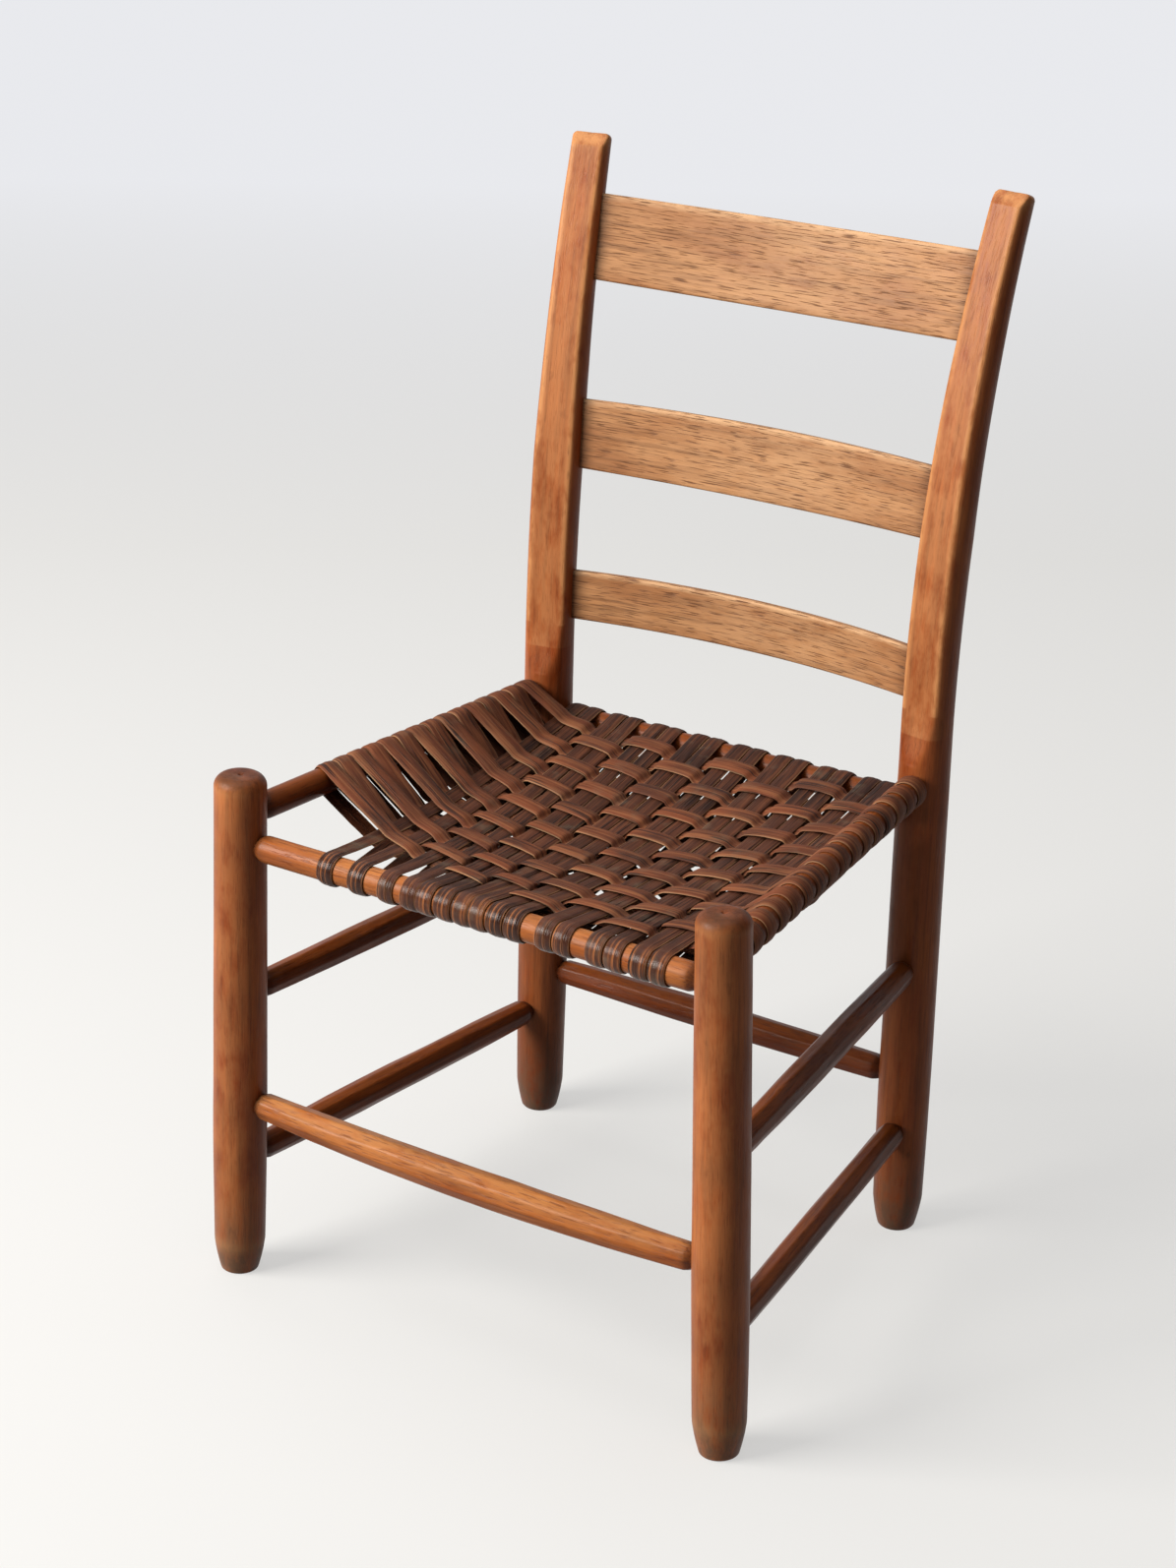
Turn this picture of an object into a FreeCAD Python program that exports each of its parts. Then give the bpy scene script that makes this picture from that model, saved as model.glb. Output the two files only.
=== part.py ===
"""Country ladderback chair: a turned and shaved hardwood frame with a woven bark seat.

The chair stands on the floor with its front towards -Y. The origin is on the floor, under the
middle of the whole chair. Left and right are as seen by someone who looks at the front of the
chair, so left is -X. All sizes are in millimetres and all angles in degrees.
"""
import FreeCAD, Part
import math
import os

import Sketcher
from FreeCAD import Placement, Rotation, Vector

# Where the four posts stand. Spreads are from post middle to post middle. The rear posts
# begin to bend BEND_RISE above the tops of the front posts.
FRONT_SETBACK = 215.0
SEAT_DEPTH = 367.4
FRONT_FLOOR_SPREAD = 454.5
FRONT_TOP_SPREAD = 426.8
FRONT_FOOT_LEAD = 2.5
FRONT_HEIGHT = 434.2
REAR_FLOOR_SPREAD = 361.1
REAR_BEND_SPREAD = 356.9
REAR_FOOT_LEAD = 5.1
BEND_RISE = 5.8
BEND_RADIUS = 1340.0
BEND_ANGLE = 18.1
BEND_TURN = 11.0

# The turned part of each post: its radius at the floor, the ankle, the belly and the neck.
FOOT_RADIUS = 15.6
FOOT_HEIGHT = 1.5
ANKLE_RADIUS = 20.4
ANKLE_HEIGHT = 27.0
BELLY_RADIUS = 21.4
BELLY_HEIGHT = 150.0
NECK_RADIUS = 20.3
NECK_DROP = 34.2
DOME_RADIUS = 9.0
PIP_RADIUS = 1.6
PIP_DEPTH = 2.5
REAR_LEG_RADIUS = 20.5
FLOOR_ALLOWANCE = 3.0

# The bent upper part of each rear post, with its shaved front face.
WAIST_ANGLE = 6.9
REAR_TIP_RADIUS = 15.9
TONGUE_DROP = 22.0
SHAVED_RISE = 34.0
RUNOUT_RADIUS = 200.0
SHAVED_INSET_LOW = 12.8
SHAVED_INSET_TOP = 9.0
SHAVED_RADIUS = 1570.0
STATIONS = 4
TIP_BEVEL_HEIGHT = 11.0
TIP_BEVEL_DEPTH = 6.0
TIP_ROUNDING = 4.0
SHAVED_SPARE = 0.2

# Rungs: heights of their middles, thicknesses and the tenons that go into the posts. The seat's
# own rungs are measured down from the tops of the front posts.
TENON_RADIUS = 8.0
TENON_LENGTH = 24.0
TENON_PLAY = 0.2
SHOULDER_LENGTH = 2.0
SHOULDER_GAP = 0.4
HOLE_SPARE = 1.0
FRONT_SEAT_DROP = 55.9
REAR_SEAT_DROP = 57.2
SIDE_SEAT_DROP = 34.1
FRONT_LOWER_HEIGHT = 154.9
REAR_LOWER_HEIGHT = 137.9
LEFT_UPPER_HEIGHT = 246.5
LEFT_LOWER_HEIGHT = 100.6
RIGHT_UPPER_HEIGHT = 241.2
RIGHT_LOWER_HEIGHT = 95.4
SEAT_RUNG_RADIUS = 10.75
RUNG_END_RADIUS = 10.6
FRONT_LOWER_RADIUS = 13.4
REAR_LOWER_RADIUS = 12.4
LEFT_UPPER_RADIUS = 11.7
LEFT_LOWER_RADIUS = 12.6
RIGHT_UPPER_RADIUS = 12.0
RIGHT_LOWER_RADIUS = 11.2
FRONT_LOWER_SAG = 5.0
RUNG_STATIONS = 6

# Slats: faces and bows, and the mortises that hold the ends. Their middles are measured up
# from where the rear posts begin to bend.
TOP_SLAT_RISE = 338.5
TOP_SLAT_FACE = 70.4
TOP_SLAT_BOW = 17.0
TOP_SLAT_CROWN = 1.2
MIDDLE_SLAT_RISE = 182.5
MIDDLE_SLAT_FACE = 60.0
MIDDLE_SLAT_BOW = 14.0
MIDDLE_SLAT_CROWN = 3.6
BOTTOM_SLAT_RISE = 45.6
BOTTOM_SLAT_FACE = 43.0
BOTTOM_SLAT_BOW = 20.0
BOTTOM_SLAT_CROWN = 1.6
SLAT_THICKNESS = 7.5
SLAT_SETBACK = 4.5
SLAT_TENON = 18.0
SLAT_PLAY = 0.3
MORTISE_SPARE = 2.0
SLAT_ROUNDING = 2.0

# The woven bark. Warps run front to back in pairs, and weft rows run from side to side. The
# pairs are evenly spaced on the rear rung and not on the front one, where the last place is only
# aimed at, under the seat.
BARK_THICKNESS = 1.6
BARK_PLAY = 0.3
CROSSING_PLAY = 0.5
WARP_PAIRS = 8
WARP_WIDTH = 14.5
WARP_SPLIT = 1.0
WARP_PITCH = 40.0
WEFT_ROWS = 15
WEFT_WIDTH = 16.5
WEFT_LEFT_PITCH = 17.2
WEFT_MIDDLE_PITCH = 21.2
WEFT_RIGHT_PITCH = 21.6
WEFT_SIDE_SETBACK = 31.0
WEFT_MIDDLE_SETBACK = 32.0
SEAT_DISH = 22.0
UNDERSIDE_SAG = 12.0
EDGE_MARGIN = 1.5
SPLICE_GAP = 0.6
WRAP_STEPS = 8
WARP_STEPS = 8
FRONT_WARP_PLACES = (-118.0, -74.0, -38.0, -1.0, 36.0, 78.5, 122.0, 158.5, 188.0)

# Heights from the floor. The seat hangs from the tops of the front posts, the rear posts bend
# just above it, and the slats lie along the bend.
NECK_HEIGHT = FRONT_HEIGHT - NECK_DROP
FRONT_SEAT_HEIGHT = FRONT_HEIGHT - FRONT_SEAT_DROP
REAR_SEAT_HEIGHT = FRONT_HEIGHT - REAR_SEAT_DROP
SIDE_SEAT_HEIGHT = FRONT_HEIGHT - SIDE_SEAT_DROP
BEND_START = FRONT_HEIGHT + BEND_RISE
TOP_SLAT_HEIGHT = BEND_START + TOP_SLAT_RISE
MIDDLE_SLAT_HEIGHT = BEND_START + MIDDLE_SLAT_RISE
BOTTOM_SLAT_HEIGHT = BEND_START + BOTTOM_SLAT_RISE

# The document and its sheet of sizes
os.makedirs("parts", exist_ok=True)
doc = FreeCAD.newDocument("ladderback_chair")
sheet = doc.addObject("Spreadsheet::Sheet", "sizes")
size = {}


def put(name, value):
    """Keep one size in the sheet, under its own name, and give it back."""
    size[name] = float(value)
    cell = "A%d" % len(size)
    sheet.set(cell, "%.6f" % size[name])
    sheet.setAlias(cell, name)
    sheet.recompute()
    return size[name]


# Each size above goes into the sheet under its name in small letters.
for name, value in list(globals().items()):
    if name.isupper() and isinstance(value, float):
        put(name.lower(), value)
for number, place in enumerate(FRONT_WARP_PLACES):
    put("front_warp_place_%d" % (number + 1), place)

FRONT_Y = -FRONT_SETBACK
REAR_Y = FRONT_Y + SEAT_DEPTH
UP = Vector(0, 0, 1)


def lerp(start, end, share):
    return start + (end - start) * share


# Post middles


def front_axis(side, height):
    """Middle of a front post at a height; side is -1 on the left and 1 on the right."""
    share = height / FRONT_HEIGHT
    spread = lerp(FRONT_FLOOR_SPREAD, FRONT_TOP_SPREAD, share)
    return Vector(side * spread / 2, FRONT_Y - FRONT_FOOT_LEAD * (1 - share), height)


def rear_frame(side):
    """Local frame of a rear post: Z runs up the straight leg and Y points where it bends."""
    foot = Vector(side * REAR_FLOOR_SPREAD / 2, REAR_Y - REAR_FOOT_LEAD, 0)
    bend = Vector(side * REAR_BEND_SPREAD / 2, REAR_Y, BEND_START)
    turn = math.radians(BEND_TURN)
    back = Vector(side * math.sin(turn), math.cos(turn), 0)
    return frame(foot, bend - foot, back)


def frame(origin, z_axis, y_hint):
    """Placement with its Z along z_axis and its Y as near y_hint as it can be."""
    z_axis = Vector(z_axis).normalize()
    x_axis = Vector(y_hint).cross(z_axis).normalize()
    y_axis = z_axis.cross(x_axis)
    return Placement(origin, Rotation(x_axis, y_axis, z_axis, "ZXY"))


LEG_LENGTH = put("leg_length", Vector((REAR_FLOOR_SPREAD - REAR_BEND_SPREAD) / 2,
                                      REAR_FOOT_LEAD, BEND_START).Length)


def bend_point(angle, inset=0.0):
    """Place on the bent part in the post's own YZ plane, inset mm ahead of its middle."""
    turn = math.radians(angle)
    reach = BEND_RADIUS + inset
    return (BEND_RADIUS - reach * math.cos(turn), LEG_LENGTH + reach * math.sin(turn))


def rear_angle(side, height):
    """Angle along the bend at which a rear post's middle is at a height."""
    low, high = 0.0, BEND_ANGLE
    for _ in range(40):
        middle = (low + high) / 2
        y, z = bend_point(middle)
        if rear_frame(side).multVec(Vector(0, y, z)).z < height:
            low = middle
        else:
            high = middle
    return low


def rear_axis(side, height):
    """Middle of a rear post at a height."""
    here = rear_frame(side)
    if height <= BEND_START:
        return here.multVec(Vector(0, 0, LEG_LENGTH * height / BEND_START))
    y, z = bend_point(rear_angle(side, height))
    return here.multVec(Vector(0, y, z))


def turned_radius(height, top_radius, top_height):
    """Radius of a turned post at a height between its ankle and its neck."""
    if height < BELLY_HEIGHT:
        share = (height - ANKLE_HEIGHT) / (BELLY_HEIGHT - ANKLE_HEIGHT)
        return lerp(ANKLE_RADIUS, BELLY_RADIUS, share)
    share = (height - BELLY_HEIGHT) / (top_height - BELLY_HEIGHT)
    return lerp(BELLY_RADIUS, top_radius, min(share, 1.0))


def front_radius(height):
    return turned_radius(height, NECK_RADIUS, NECK_HEIGHT)


def rear_radius(height):
    return turned_radius(height, REAR_LEG_RADIUS, BEND_START)


def bent_radius(angle):
    """Radius of the round back of a rear post along its bend."""
    if angle < WAIST_ANGLE:
        return REAR_LEG_RADIUS
    share = (angle - WAIST_ANGLE) / (BEND_ANGLE - WAIST_ANGLE)
    return lerp(REAR_LEG_RADIUS, REAR_TIP_RADIUS, share)


# Worked-out sizes of the rungs, slats and posts. All of them are in the sheet before the first
# piece is made.

SIDES = {"left": -1, "right": 1}
RUNGS = {}
SLATS = {}


def plan_rung(name, first, second, first_radius, second_radius, end_radius, middle_radius):
    """A rung between two post middles, with the radius of the post at each end."""
    way = (second - first).normalize()
    near = first_radius - TENON_LENGTH
    far = (second - first).Length - second_radius + TENON_LENGTH
    length = put(name + "_length", far - near)
    put(name + "_end_radius", end_radius)
    bulge = middle_radius - end_radius
    if bulge > 0:
        chord = length - 2 * (TENON_LENGTH + SHOULDER_GAP + SHOULDER_LENGTH)
        put(name + "_barrel", (chord ** 2 / 4 + bulge ** 2) / (2 * bulge))
    depth = TENON_LENGTH + HOLE_SPARE
    RUNGS[name] = {
        "place": frame(first + way * near, way, UP),
        "barrel": bulge > 0,
        "first": frame(first + way * (first_radius - depth), way, UP),
        "second": frame(second - way * (second_radius - depth), way * -1, UP)}


def plan_cross_rung(name, axis, radius, height, end_radius, middle_radius):
    plan_rung(name, axis(-1, height), axis(1, height), radius(height), radius(height),
              end_radius, middle_radius)


def plan_sag(name, sag):
    """Let a rung hang in the middle. Its sections are round and follow a shallow curve."""
    RUNGS[name]["sag"] = sag
    for number in range(RUNG_STATIONS + 1):
        share = number / RUNG_STATIONS
        swell = 4 * share * (1 - share)
        radius = lerp(RUNG_END_RADIUS, FRONT_LOWER_RADIUS, swell)
        put("%s_station_%d_radius" % (name, number), radius)


def plan_slat(name, height, face, bow, crown):
    """A slat between the rear posts; its frame leans with them."""
    half = put(name + "_half_face", face / 2)
    left, right = rear_axis(-1, height), rear_axis(1, height)
    rise = rear_axis(1, height + half) - rear_axis(1, height - half)
    inner = right.x - bent_radius(rear_angle(1, height))
    reach = put(name + "_reach", inner + SLAT_TENON)
    curve = put(name + "_front_radius", (inner ** 2 + bow ** 2) / (2 * bow))
    put(name + "_back_radius", curve + SLAT_THICKNESS)
    held = inner + SLAT_TENON / 2
    slope = math.asin(held / curve)
    level = math.sqrt(curve ** 2 - inner ** 2)
    end_drop = level - math.sqrt(curve ** 2 - reach ** 2)
    held_drop = level - math.sqrt(curve ** 2 - held ** 2)
    put(name + "_end_front", SLAT_SETBACK - SLAT_THICKNESS / 2 - end_drop)
    put(name + "_mortise", face + 2 * SLAT_PLAY)
    put(name + "_crown_radius", (reach ** 2 + crown ** 2) / (2 * crown))
    SLATS[name] = {
        "place": frame((left + right) * 0.5, Vector(0, rise.y, rise.z), Vector(0, 1, 0)),
        "held": (held + SLAT_THICKNESS / 2 * math.sin(slope),
                 SLAT_SETBACK - held_drop - SLAT_THICKNESS / 2 * (1 - math.cos(slope))),
        "slope": slope}


plan_cross_rung("front_seat_rung", front_axis, front_radius, FRONT_SEAT_HEIGHT,
                SEAT_RUNG_RADIUS, SEAT_RUNG_RADIUS)
plan_cross_rung("rear_seat_rung", rear_axis, rear_radius, REAR_SEAT_HEIGHT,
                SEAT_RUNG_RADIUS, SEAT_RUNG_RADIUS)
plan_cross_rung("front_lower_rung", front_axis, front_radius, FRONT_LOWER_HEIGHT,
                RUNG_END_RADIUS, FRONT_LOWER_RADIUS)
plan_sag("front_lower_rung", FRONT_LOWER_SAG)
plan_cross_rung("rear_lower_rung", rear_axis, rear_radius, REAR_LOWER_HEIGHT,
                RUNG_END_RADIUS, REAR_LOWER_RADIUS)
for name, side, height, end_radius, middle_radius in (
        ("left_seat_rung", -1, SIDE_SEAT_HEIGHT, SEAT_RUNG_RADIUS, SEAT_RUNG_RADIUS),
        ("right_seat_rung", 1, SIDE_SEAT_HEIGHT, SEAT_RUNG_RADIUS, SEAT_RUNG_RADIUS),
        ("left_upper_rung", -1, LEFT_UPPER_HEIGHT, RUNG_END_RADIUS, LEFT_UPPER_RADIUS),
        ("right_upper_rung", 1, RIGHT_UPPER_HEIGHT, RUNG_END_RADIUS, RIGHT_UPPER_RADIUS),
        ("left_lower_rung", -1, LEFT_LOWER_HEIGHT, RUNG_END_RADIUS, LEFT_LOWER_RADIUS),
        ("right_lower_rung", 1, RIGHT_LOWER_HEIGHT, RUNG_END_RADIUS, RIGHT_LOWER_RADIUS)):
    plan_rung(name, front_axis(side, height), rear_axis(side, height),
              front_radius(height), rear_radius(height), end_radius, middle_radius)
plan_slat("top_slat", TOP_SLAT_HEIGHT, TOP_SLAT_FACE, TOP_SLAT_BOW, TOP_SLAT_CROWN)
plan_slat("middle_slat", MIDDLE_SLAT_HEIGHT, MIDDLE_SLAT_FACE, MIDDLE_SLAT_BOW,
          MIDDLE_SLAT_CROWN)
plan_slat("bottom_slat", BOTTOM_SLAT_HEIGHT, BOTTOM_SLAT_FACE, BOTTOM_SLAT_BOW,
          BOTTOM_SLAT_CROWN)

put("hole_radius", TENON_RADIUS + TENON_PLAY)
put("hole_length", TENON_LENGTH + BELLY_RADIUS)
put("mortise_width", SLAT_THICKNESS + 2 * SLAT_PLAY)
put("mortise_length", SLAT_TENON + REAR_LEG_RADIUS)
put("saw_reach", 4 * BELLY_RADIUS)
put("front_post_length", (front_axis(1, FRONT_HEIGHT) - front_axis(1, 0)).Length)
put("waist_rise", bend_point(WAIST_ANGLE)[1])


def station_angle(number):
    """Places along the bend, from the waist to the tip, that have a round section each."""
    return lerp(WAIST_ANGLE, BEND_ANGLE, number / STATIONS)


for number in range(STATIONS + 1):
    put("station_%d_radius" % number, bent_radius(station_angle(number)))


def put_point(name, point):
    put(name + "_y", point[0])
    put(name + "_z", point[1])


# Corners of the shaved front face, seen from the side of the post.
TIP_LEAN = math.radians(BEND_ANGLE)
SHAVED_TOP = bend_point(BEND_ANGLE, SHAVED_INSET_TOP)
put_point("tongue", (-REAR_LEG_RADIUS - SHAVED_SPARE, LEG_LENGTH - TONGUE_DROP))
put_point("shaved_low", bend_point(math.degrees(SHAVED_RISE / BEND_RADIUS), SHAVED_INSET_LOW))
put_point("shaved_top", SHAVED_TOP)
put_point("over", (SHAVED_TOP[0] + REAR_LEG_RADIUS * math.sin(TIP_LEAN),
                   SHAVED_TOP[1] + REAR_LEG_RADIUS * math.cos(TIP_LEAN)))
put_point("bevel", bend_point(BEND_ANGLE, SHAVED_INSET_TOP - TIP_BEVEL_DEPTH))
put_point("heel", (SHAVED_TOP[0] - TIP_BEVEL_HEIGHT * math.sin(TIP_LEAN),
                   SHAVED_TOP[1] - TIP_BEVEL_HEIGHT * math.cos(TIP_LEAN)))
put("clear_y", -4 * REAR_LEG_RADIUS)


# Sketches and bodies


def origin_plane(body, role):
    for feature in body.Origin.OriginFeatures:
        if feature.Role == role:
            return feature
    raise RuntimeError("no plane " + role)


def new_body(label, placement):
    body = doc.addObject("PartDesign::Body", label)
    body.Label = label
    body.Placement = placement
    return body


def new_sketch(body, name, role):
    sketch = body.newObject("Sketcher::SketchObject", name)
    sketch.AttachmentSupport = [(origin_plane(body, role), "")]
    sketch.MapMode = "FlatFace"
    return sketch


def pin_coordinate(sketch, index, end, kind, rule):
    """Hold one coordinate of a corner to a rule written in the names of the sheet."""
    if rule == "0":
        axis = -2 if kind == "DistanceX" else -1
        sketch.addConstraint(Sketcher.Constraint("PointOnObject", index, end, axis))
        return
    value = float(sketch.evalExpression(rule))
    number = sketch.addConstraint(Sketcher.Constraint(kind, -1, 1, index, end, value))
    sketch.setExpression("Constraints[%d]" % number, rule)


def arc_through(start, end, radius):
    """Arc between two corners; it bulges to the right of the way from start to end."""
    chord = end - start
    middle = (start + end) * 0.5
    left = Vector(-chord.y, chord.x, 0).normalize()
    away = math.sqrt(radius ** 2 - (chord.Length / 2) ** 2)
    centre = middle + left * away
    first = math.atan2(start.y - centre.y, start.x - centre.x)
    last = math.atan2(end.y - centre.y, end.x - centre.x)
    if last < first:
        last += 2 * math.pi
    return Part.ArcOfCircle(Part.Circle(centre, UP, radius), first, last)


def outline(sketch, corners):
    """Closed outline. A corner is (x rule, y rule) or (x rule, y rule, radius rule), where the
    radius rounds the side that leaves the corner, bulging to the right of the way it goes; with
    a leading minus it bulges to the left."""
    count = len(corners)
    places = [Vector(float(sketch.evalExpression(c[0])), float(sketch.evalExpression(c[1])), 0)
              for c in corners]
    ends = []
    for number, corner in enumerate(corners):
        start, end = places[number], places[(number + 1) % count]
        if len(corner) == 2:
            index = sketch.addGeometry(Part.LineSegment(start, end))
            ends.append((index, 1, 2))
            continue
        left_bulge = corner[2].startswith("-")
        rule = corner[2].lstrip("-")
        radius = float(sketch.evalExpression(rule))
        if left_bulge:
            index = sketch.addGeometry(arc_through(end, start, radius))
            ends.append((index, 2, 1))
        else:
            index = sketch.addGeometry(arc_through(start, end, radius))
            ends.append((index, 1, 2))
        number = sketch.addConstraint(Sketcher.Constraint("Radius", index, radius))
        sketch.setExpression("Constraints[%d]" % number, rule)
    for number in range(count):
        index, first, last = ends[number]
        following, following_first, _ = ends[(number + 1) % count]
        sketch.addConstraint(Sketcher.Constraint("Coincident", index, last,
                                                 following, following_first))
    for number, corner in enumerate(corners):
        index, first, _ = ends[number]
        pin_coordinate(sketch, index, first, "DistanceX", corner[0])
        pin_coordinate(sketch, index, first, "DistanceY", corner[1])


def circle_sketch(body, name, radius_rule):
    sketch = new_sketch(body, name, "XY_Plane")
    radius = float(sketch.evalExpression(radius_rule))
    index = sketch.addGeometry(Part.Circle(Vector(0, 0, 0), UP, radius))
    sketch.addConstraint(Sketcher.Constraint("Coincident", index, 3, -1, 1))
    number = sketch.addConstraint(Sketcher.Constraint("Radius", index, radius))
    sketch.setExpression("Constraints[%d]" % number, radius_rule)
    return sketch


def revolve(body, name, corners):
    """Turned shape: half its outline in the XZ plane, swung round Z."""
    sketch = new_sketch(body, name + "_outline", "XZ_Plane")
    outline(sketch, corners)
    turned = body.newObject("PartDesign::Revolution", name)
    turned.Profile = sketch
    turned.ReferenceAxis = (sketch, ["V_Axis"])
    turned.Angle = 360.0
    doc.recompute()
    return turned


def pocket_through(body, name, role, corners):
    """Cut an outline right through the body, both ways from an origin plane."""
    sketch = new_sketch(body, name + "_outline", role)
    outline(sketch, corners)
    before = body.Shape.Volume
    pocket = body.newObject("PartDesign::Pocket", name)
    pocket.Profile = sketch
    pocket.Type = "ThroughAll"
    pocket.Midplane = True
    doc.recompute()
    if body.Shape.Volume > before - 1.0:
        raise RuntimeError(name + " cuts nothing")
    return pocket


def bore(body, name, place, radius_rule, height_rule):
    """Round hole along Z of a placement given in the frame of the chair."""
    before = body.Shape.Volume
    hole = body.newObject("PartDesign::SubtractiveCylinder", name)
    hole.setExpression("Radius", radius_rule)
    hole.setExpression("Height", height_rule)
    hole.Placement = body.Placement.inverse() * place
    doc.recompute()
    if body.Shape.Volume > before - 1.0:
        raise RuntimeError(name + " cuts nothing")
    return hole


def box_cut(body, name, place, rules):
    """Straight-sided hole in the positive corner of a placement in the frame of the chair."""
    before = body.Shape.Volume
    box = body.newObject("PartDesign::SubtractiveBox", name)
    for key, rule in zip(("Length", "Width", "Height"), rules):
        box.setExpression(key, rule)
    box.Placement = body.Placement.inverse() * place
    doc.recompute()
    if body.Shape.Volume > before - 1.0:
        raise RuntimeError(name + " cuts nothing")
    return box


def round_edges(body, name, wanted, radius_rule):
    """Fillet the edges of the body's tip that the test picks."""
    tip = body.Tip
    names = ["Edge%d" % (number + 1) for number, edge in enumerate(tip.Shape.Edges)
             if wanted(edge)]
    if not names:
        raise RuntimeError(name + " finds no edge")
    fillet = body.newObject("PartDesign::Fillet", name)
    fillet.Base = (tip, names)
    fillet.setExpression("Radius", radius_rule)
    doc.recompute()
    return fillet


# Rungs and their holes


def build_rung(name):
    """A rung turned about the line between its two posts, with a tenon at each end."""
    data = RUNGS[name]
    body = new_body(name, data["place"])
    top = "sizes.%s_length - " % name
    start = ("sizes.%s_end_radius" % name,
             "sizes.tenon_length + sizes.shoulder_gap + sizes.shoulder_length")
    if data["barrel"]:
        start += ("sizes.%s_barrel" % name,)
    revolve(body, name + "_turning", [
        ("0", "0"),
        ("sizes.tenon_radius", "0"),
        ("sizes.tenon_radius", "sizes.tenon_length + sizes.shoulder_gap"),
        start,
        ("sizes.%s_end_radius" % name,
         top + "sizes.tenon_length - sizes.shoulder_gap - sizes.shoulder_length"),
        ("sizes.tenon_radius", top + "sizes.tenon_length - sizes.shoulder_gap"),
        ("sizes.tenon_radius", "sizes.%s_length" % name),
        ("0", "sizes.%s_length" % name)])


def build_sagging_rung(name):
    """A whittled rung that hangs in the middle: round sections, with a straight tenon each end."""
    data = RUNGS[name]
    body = new_body(name, data["place"])
    start = TENON_LENGTH + SHOULDER_GAP
    span = size[name + "_length"] - 2 * start
    sections = []
    for number in range(RUNG_STATIONS + 1):
        share = number / RUNG_STATIONS
        rule = "sizes.%s_station_%d_radius" % (name, number)
        sketch = circle_sketch(body, "%s_station_%d" % (name, number), rule)
        drop = data["sag"] * 4 * share * (1 - share)
        sketch.AttachmentOffset = Placement(Vector(0, -drop, start + share * span), Rotation())
        sections.append(sketch)
    loft = body.newObject("PartDesign::AdditiveLoft", name + "_whittling")
    loft.Profile = sections[0]
    loft.Sections = sections[1:]
    depth = start + SHOULDER_LENGTH
    for end, rise in (("first", 0.0), ("second", size[name + "_length"] - depth)):
        tenon = body.newObject("PartDesign::AdditiveCylinder", "%s_%s_tenon" % (name, end))
        tenon.setExpression("Radius", "sizes.tenon_radius")
        tenon.setExpression("Height",
                            "sizes.tenon_length + sizes.shoulder_gap + sizes.shoulder_length")
        tenon.Placement = Placement(Vector(0, 0, rise), Rotation())
    doc.recompute()

    def on_shoulder(edge):
        box = edge.BoundBox
        return box.ZLength < 0.1 and box.XLength > 2 * TENON_RADIUS + 1

    round_edges(body, name + "_shoulders", on_shoulder, "sizes.shoulder_length")


def bore_for(body, rung, end):
    bore(body, "%s_hole_for_%s" % (body.Name, rung), RUNGS[rung][end],
         "sizes.hole_radius", "sizes.hole_length")


# Slats and their mortises


def build_slat(name):
    """A bowed slat. Its own X runs across, Y backwards and Z up along the leaning posts."""
    data = SLATS[name]
    body = new_body(name, data["place"])
    reach, end_front = "sizes.%s_reach" % name, "sizes.%s_end_front" % name
    end_back = end_front + " + sizes.slat_thickness"
    sketch = new_sketch(body, name + "_band", "XY_Plane")
    outline(sketch, [
        ("-" + reach, end_front, "-sizes.%s_front_radius" % name),
        (reach, end_front),
        (reach, end_back, "sizes.%s_back_radius" % name),
        ("-" + reach, end_back)])
    pad = body.newObject("PartDesign::Pad", name + "_pad")
    pad.Profile = sketch
    pad.Midplane = True
    pad.setExpression("Length", "2 * sizes.%s_half_face" % name)
    doc.recompute()
    shoulder = "sizes.%s_half_face - sizes.%s_crown" % (name, name)
    over = "sizes.%s_half_face + 1" % name
    pocket_through(body, name + "_crowning", "XZ_Plane", [
        ("-" + reach, shoulder, "-sizes.%s_crown_radius" % name),
        (reach, shoulder),
        (reach, over),
        ("-" + reach, over)])
    round_edges(body, name + "_rounding", lambda edge: edge.Length > size[name + "_reach"],
                "sizes.slat_rounding")


def mortise_for(body, slat, side):
    """Slanted slot in a rear post, in line with the middle of the slat's held end."""
    data = SLATS[slat]
    held = Vector(side * data["held"][0], data["held"][1], 0)
    inward = Vector(-side * math.cos(data["slope"]), math.sin(data["slope"]), 0)
    across = UP.cross(inward)
    corner = (held - inward * (SLAT_TENON / 2 + MORTISE_SPARE)
              - across * (size["mortise_width"] / 2)
              - UP * (size[slat + "_half_face"] + SLAT_PLAY))
    slot = Placement(corner, Rotation(inward, across, UP, "XZY"))
    box_cut(body, "%s_mortise_for_%s" % (body.Name, slat), data["place"] * slot,
            ("sizes.mortise_length", "sizes.mortise_width", "sizes.%s_mortise" % slat))


# Posts


def leg_outline(upper):
    """Half outline of a leg from the floor to its belly, and then what the upper corners say."""
    return [
        ("0", "-sizes.floor_allowance"),
        ("sizes.foot_radius", "-sizes.floor_allowance"),
        ("sizes.foot_radius", "sizes.foot_height"),
        ("sizes.ankle_radius", "sizes.ankle_height"),
        ("sizes.belly_radius", "sizes.belly_height")] + upper


def level_foot(body):
    """Saw the end of a leaning leg level with the floor."""
    reach = size["saw_reach"]
    corner = Vector(body.Placement.Base.x - reach / 2, body.Placement.Base.y - reach / 2, -reach)
    rule = "sizes.saw_reach"
    box_cut(body, body.Name + "_floor_cut", Placement(corner, Rotation()), (rule, rule, rule))


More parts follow.
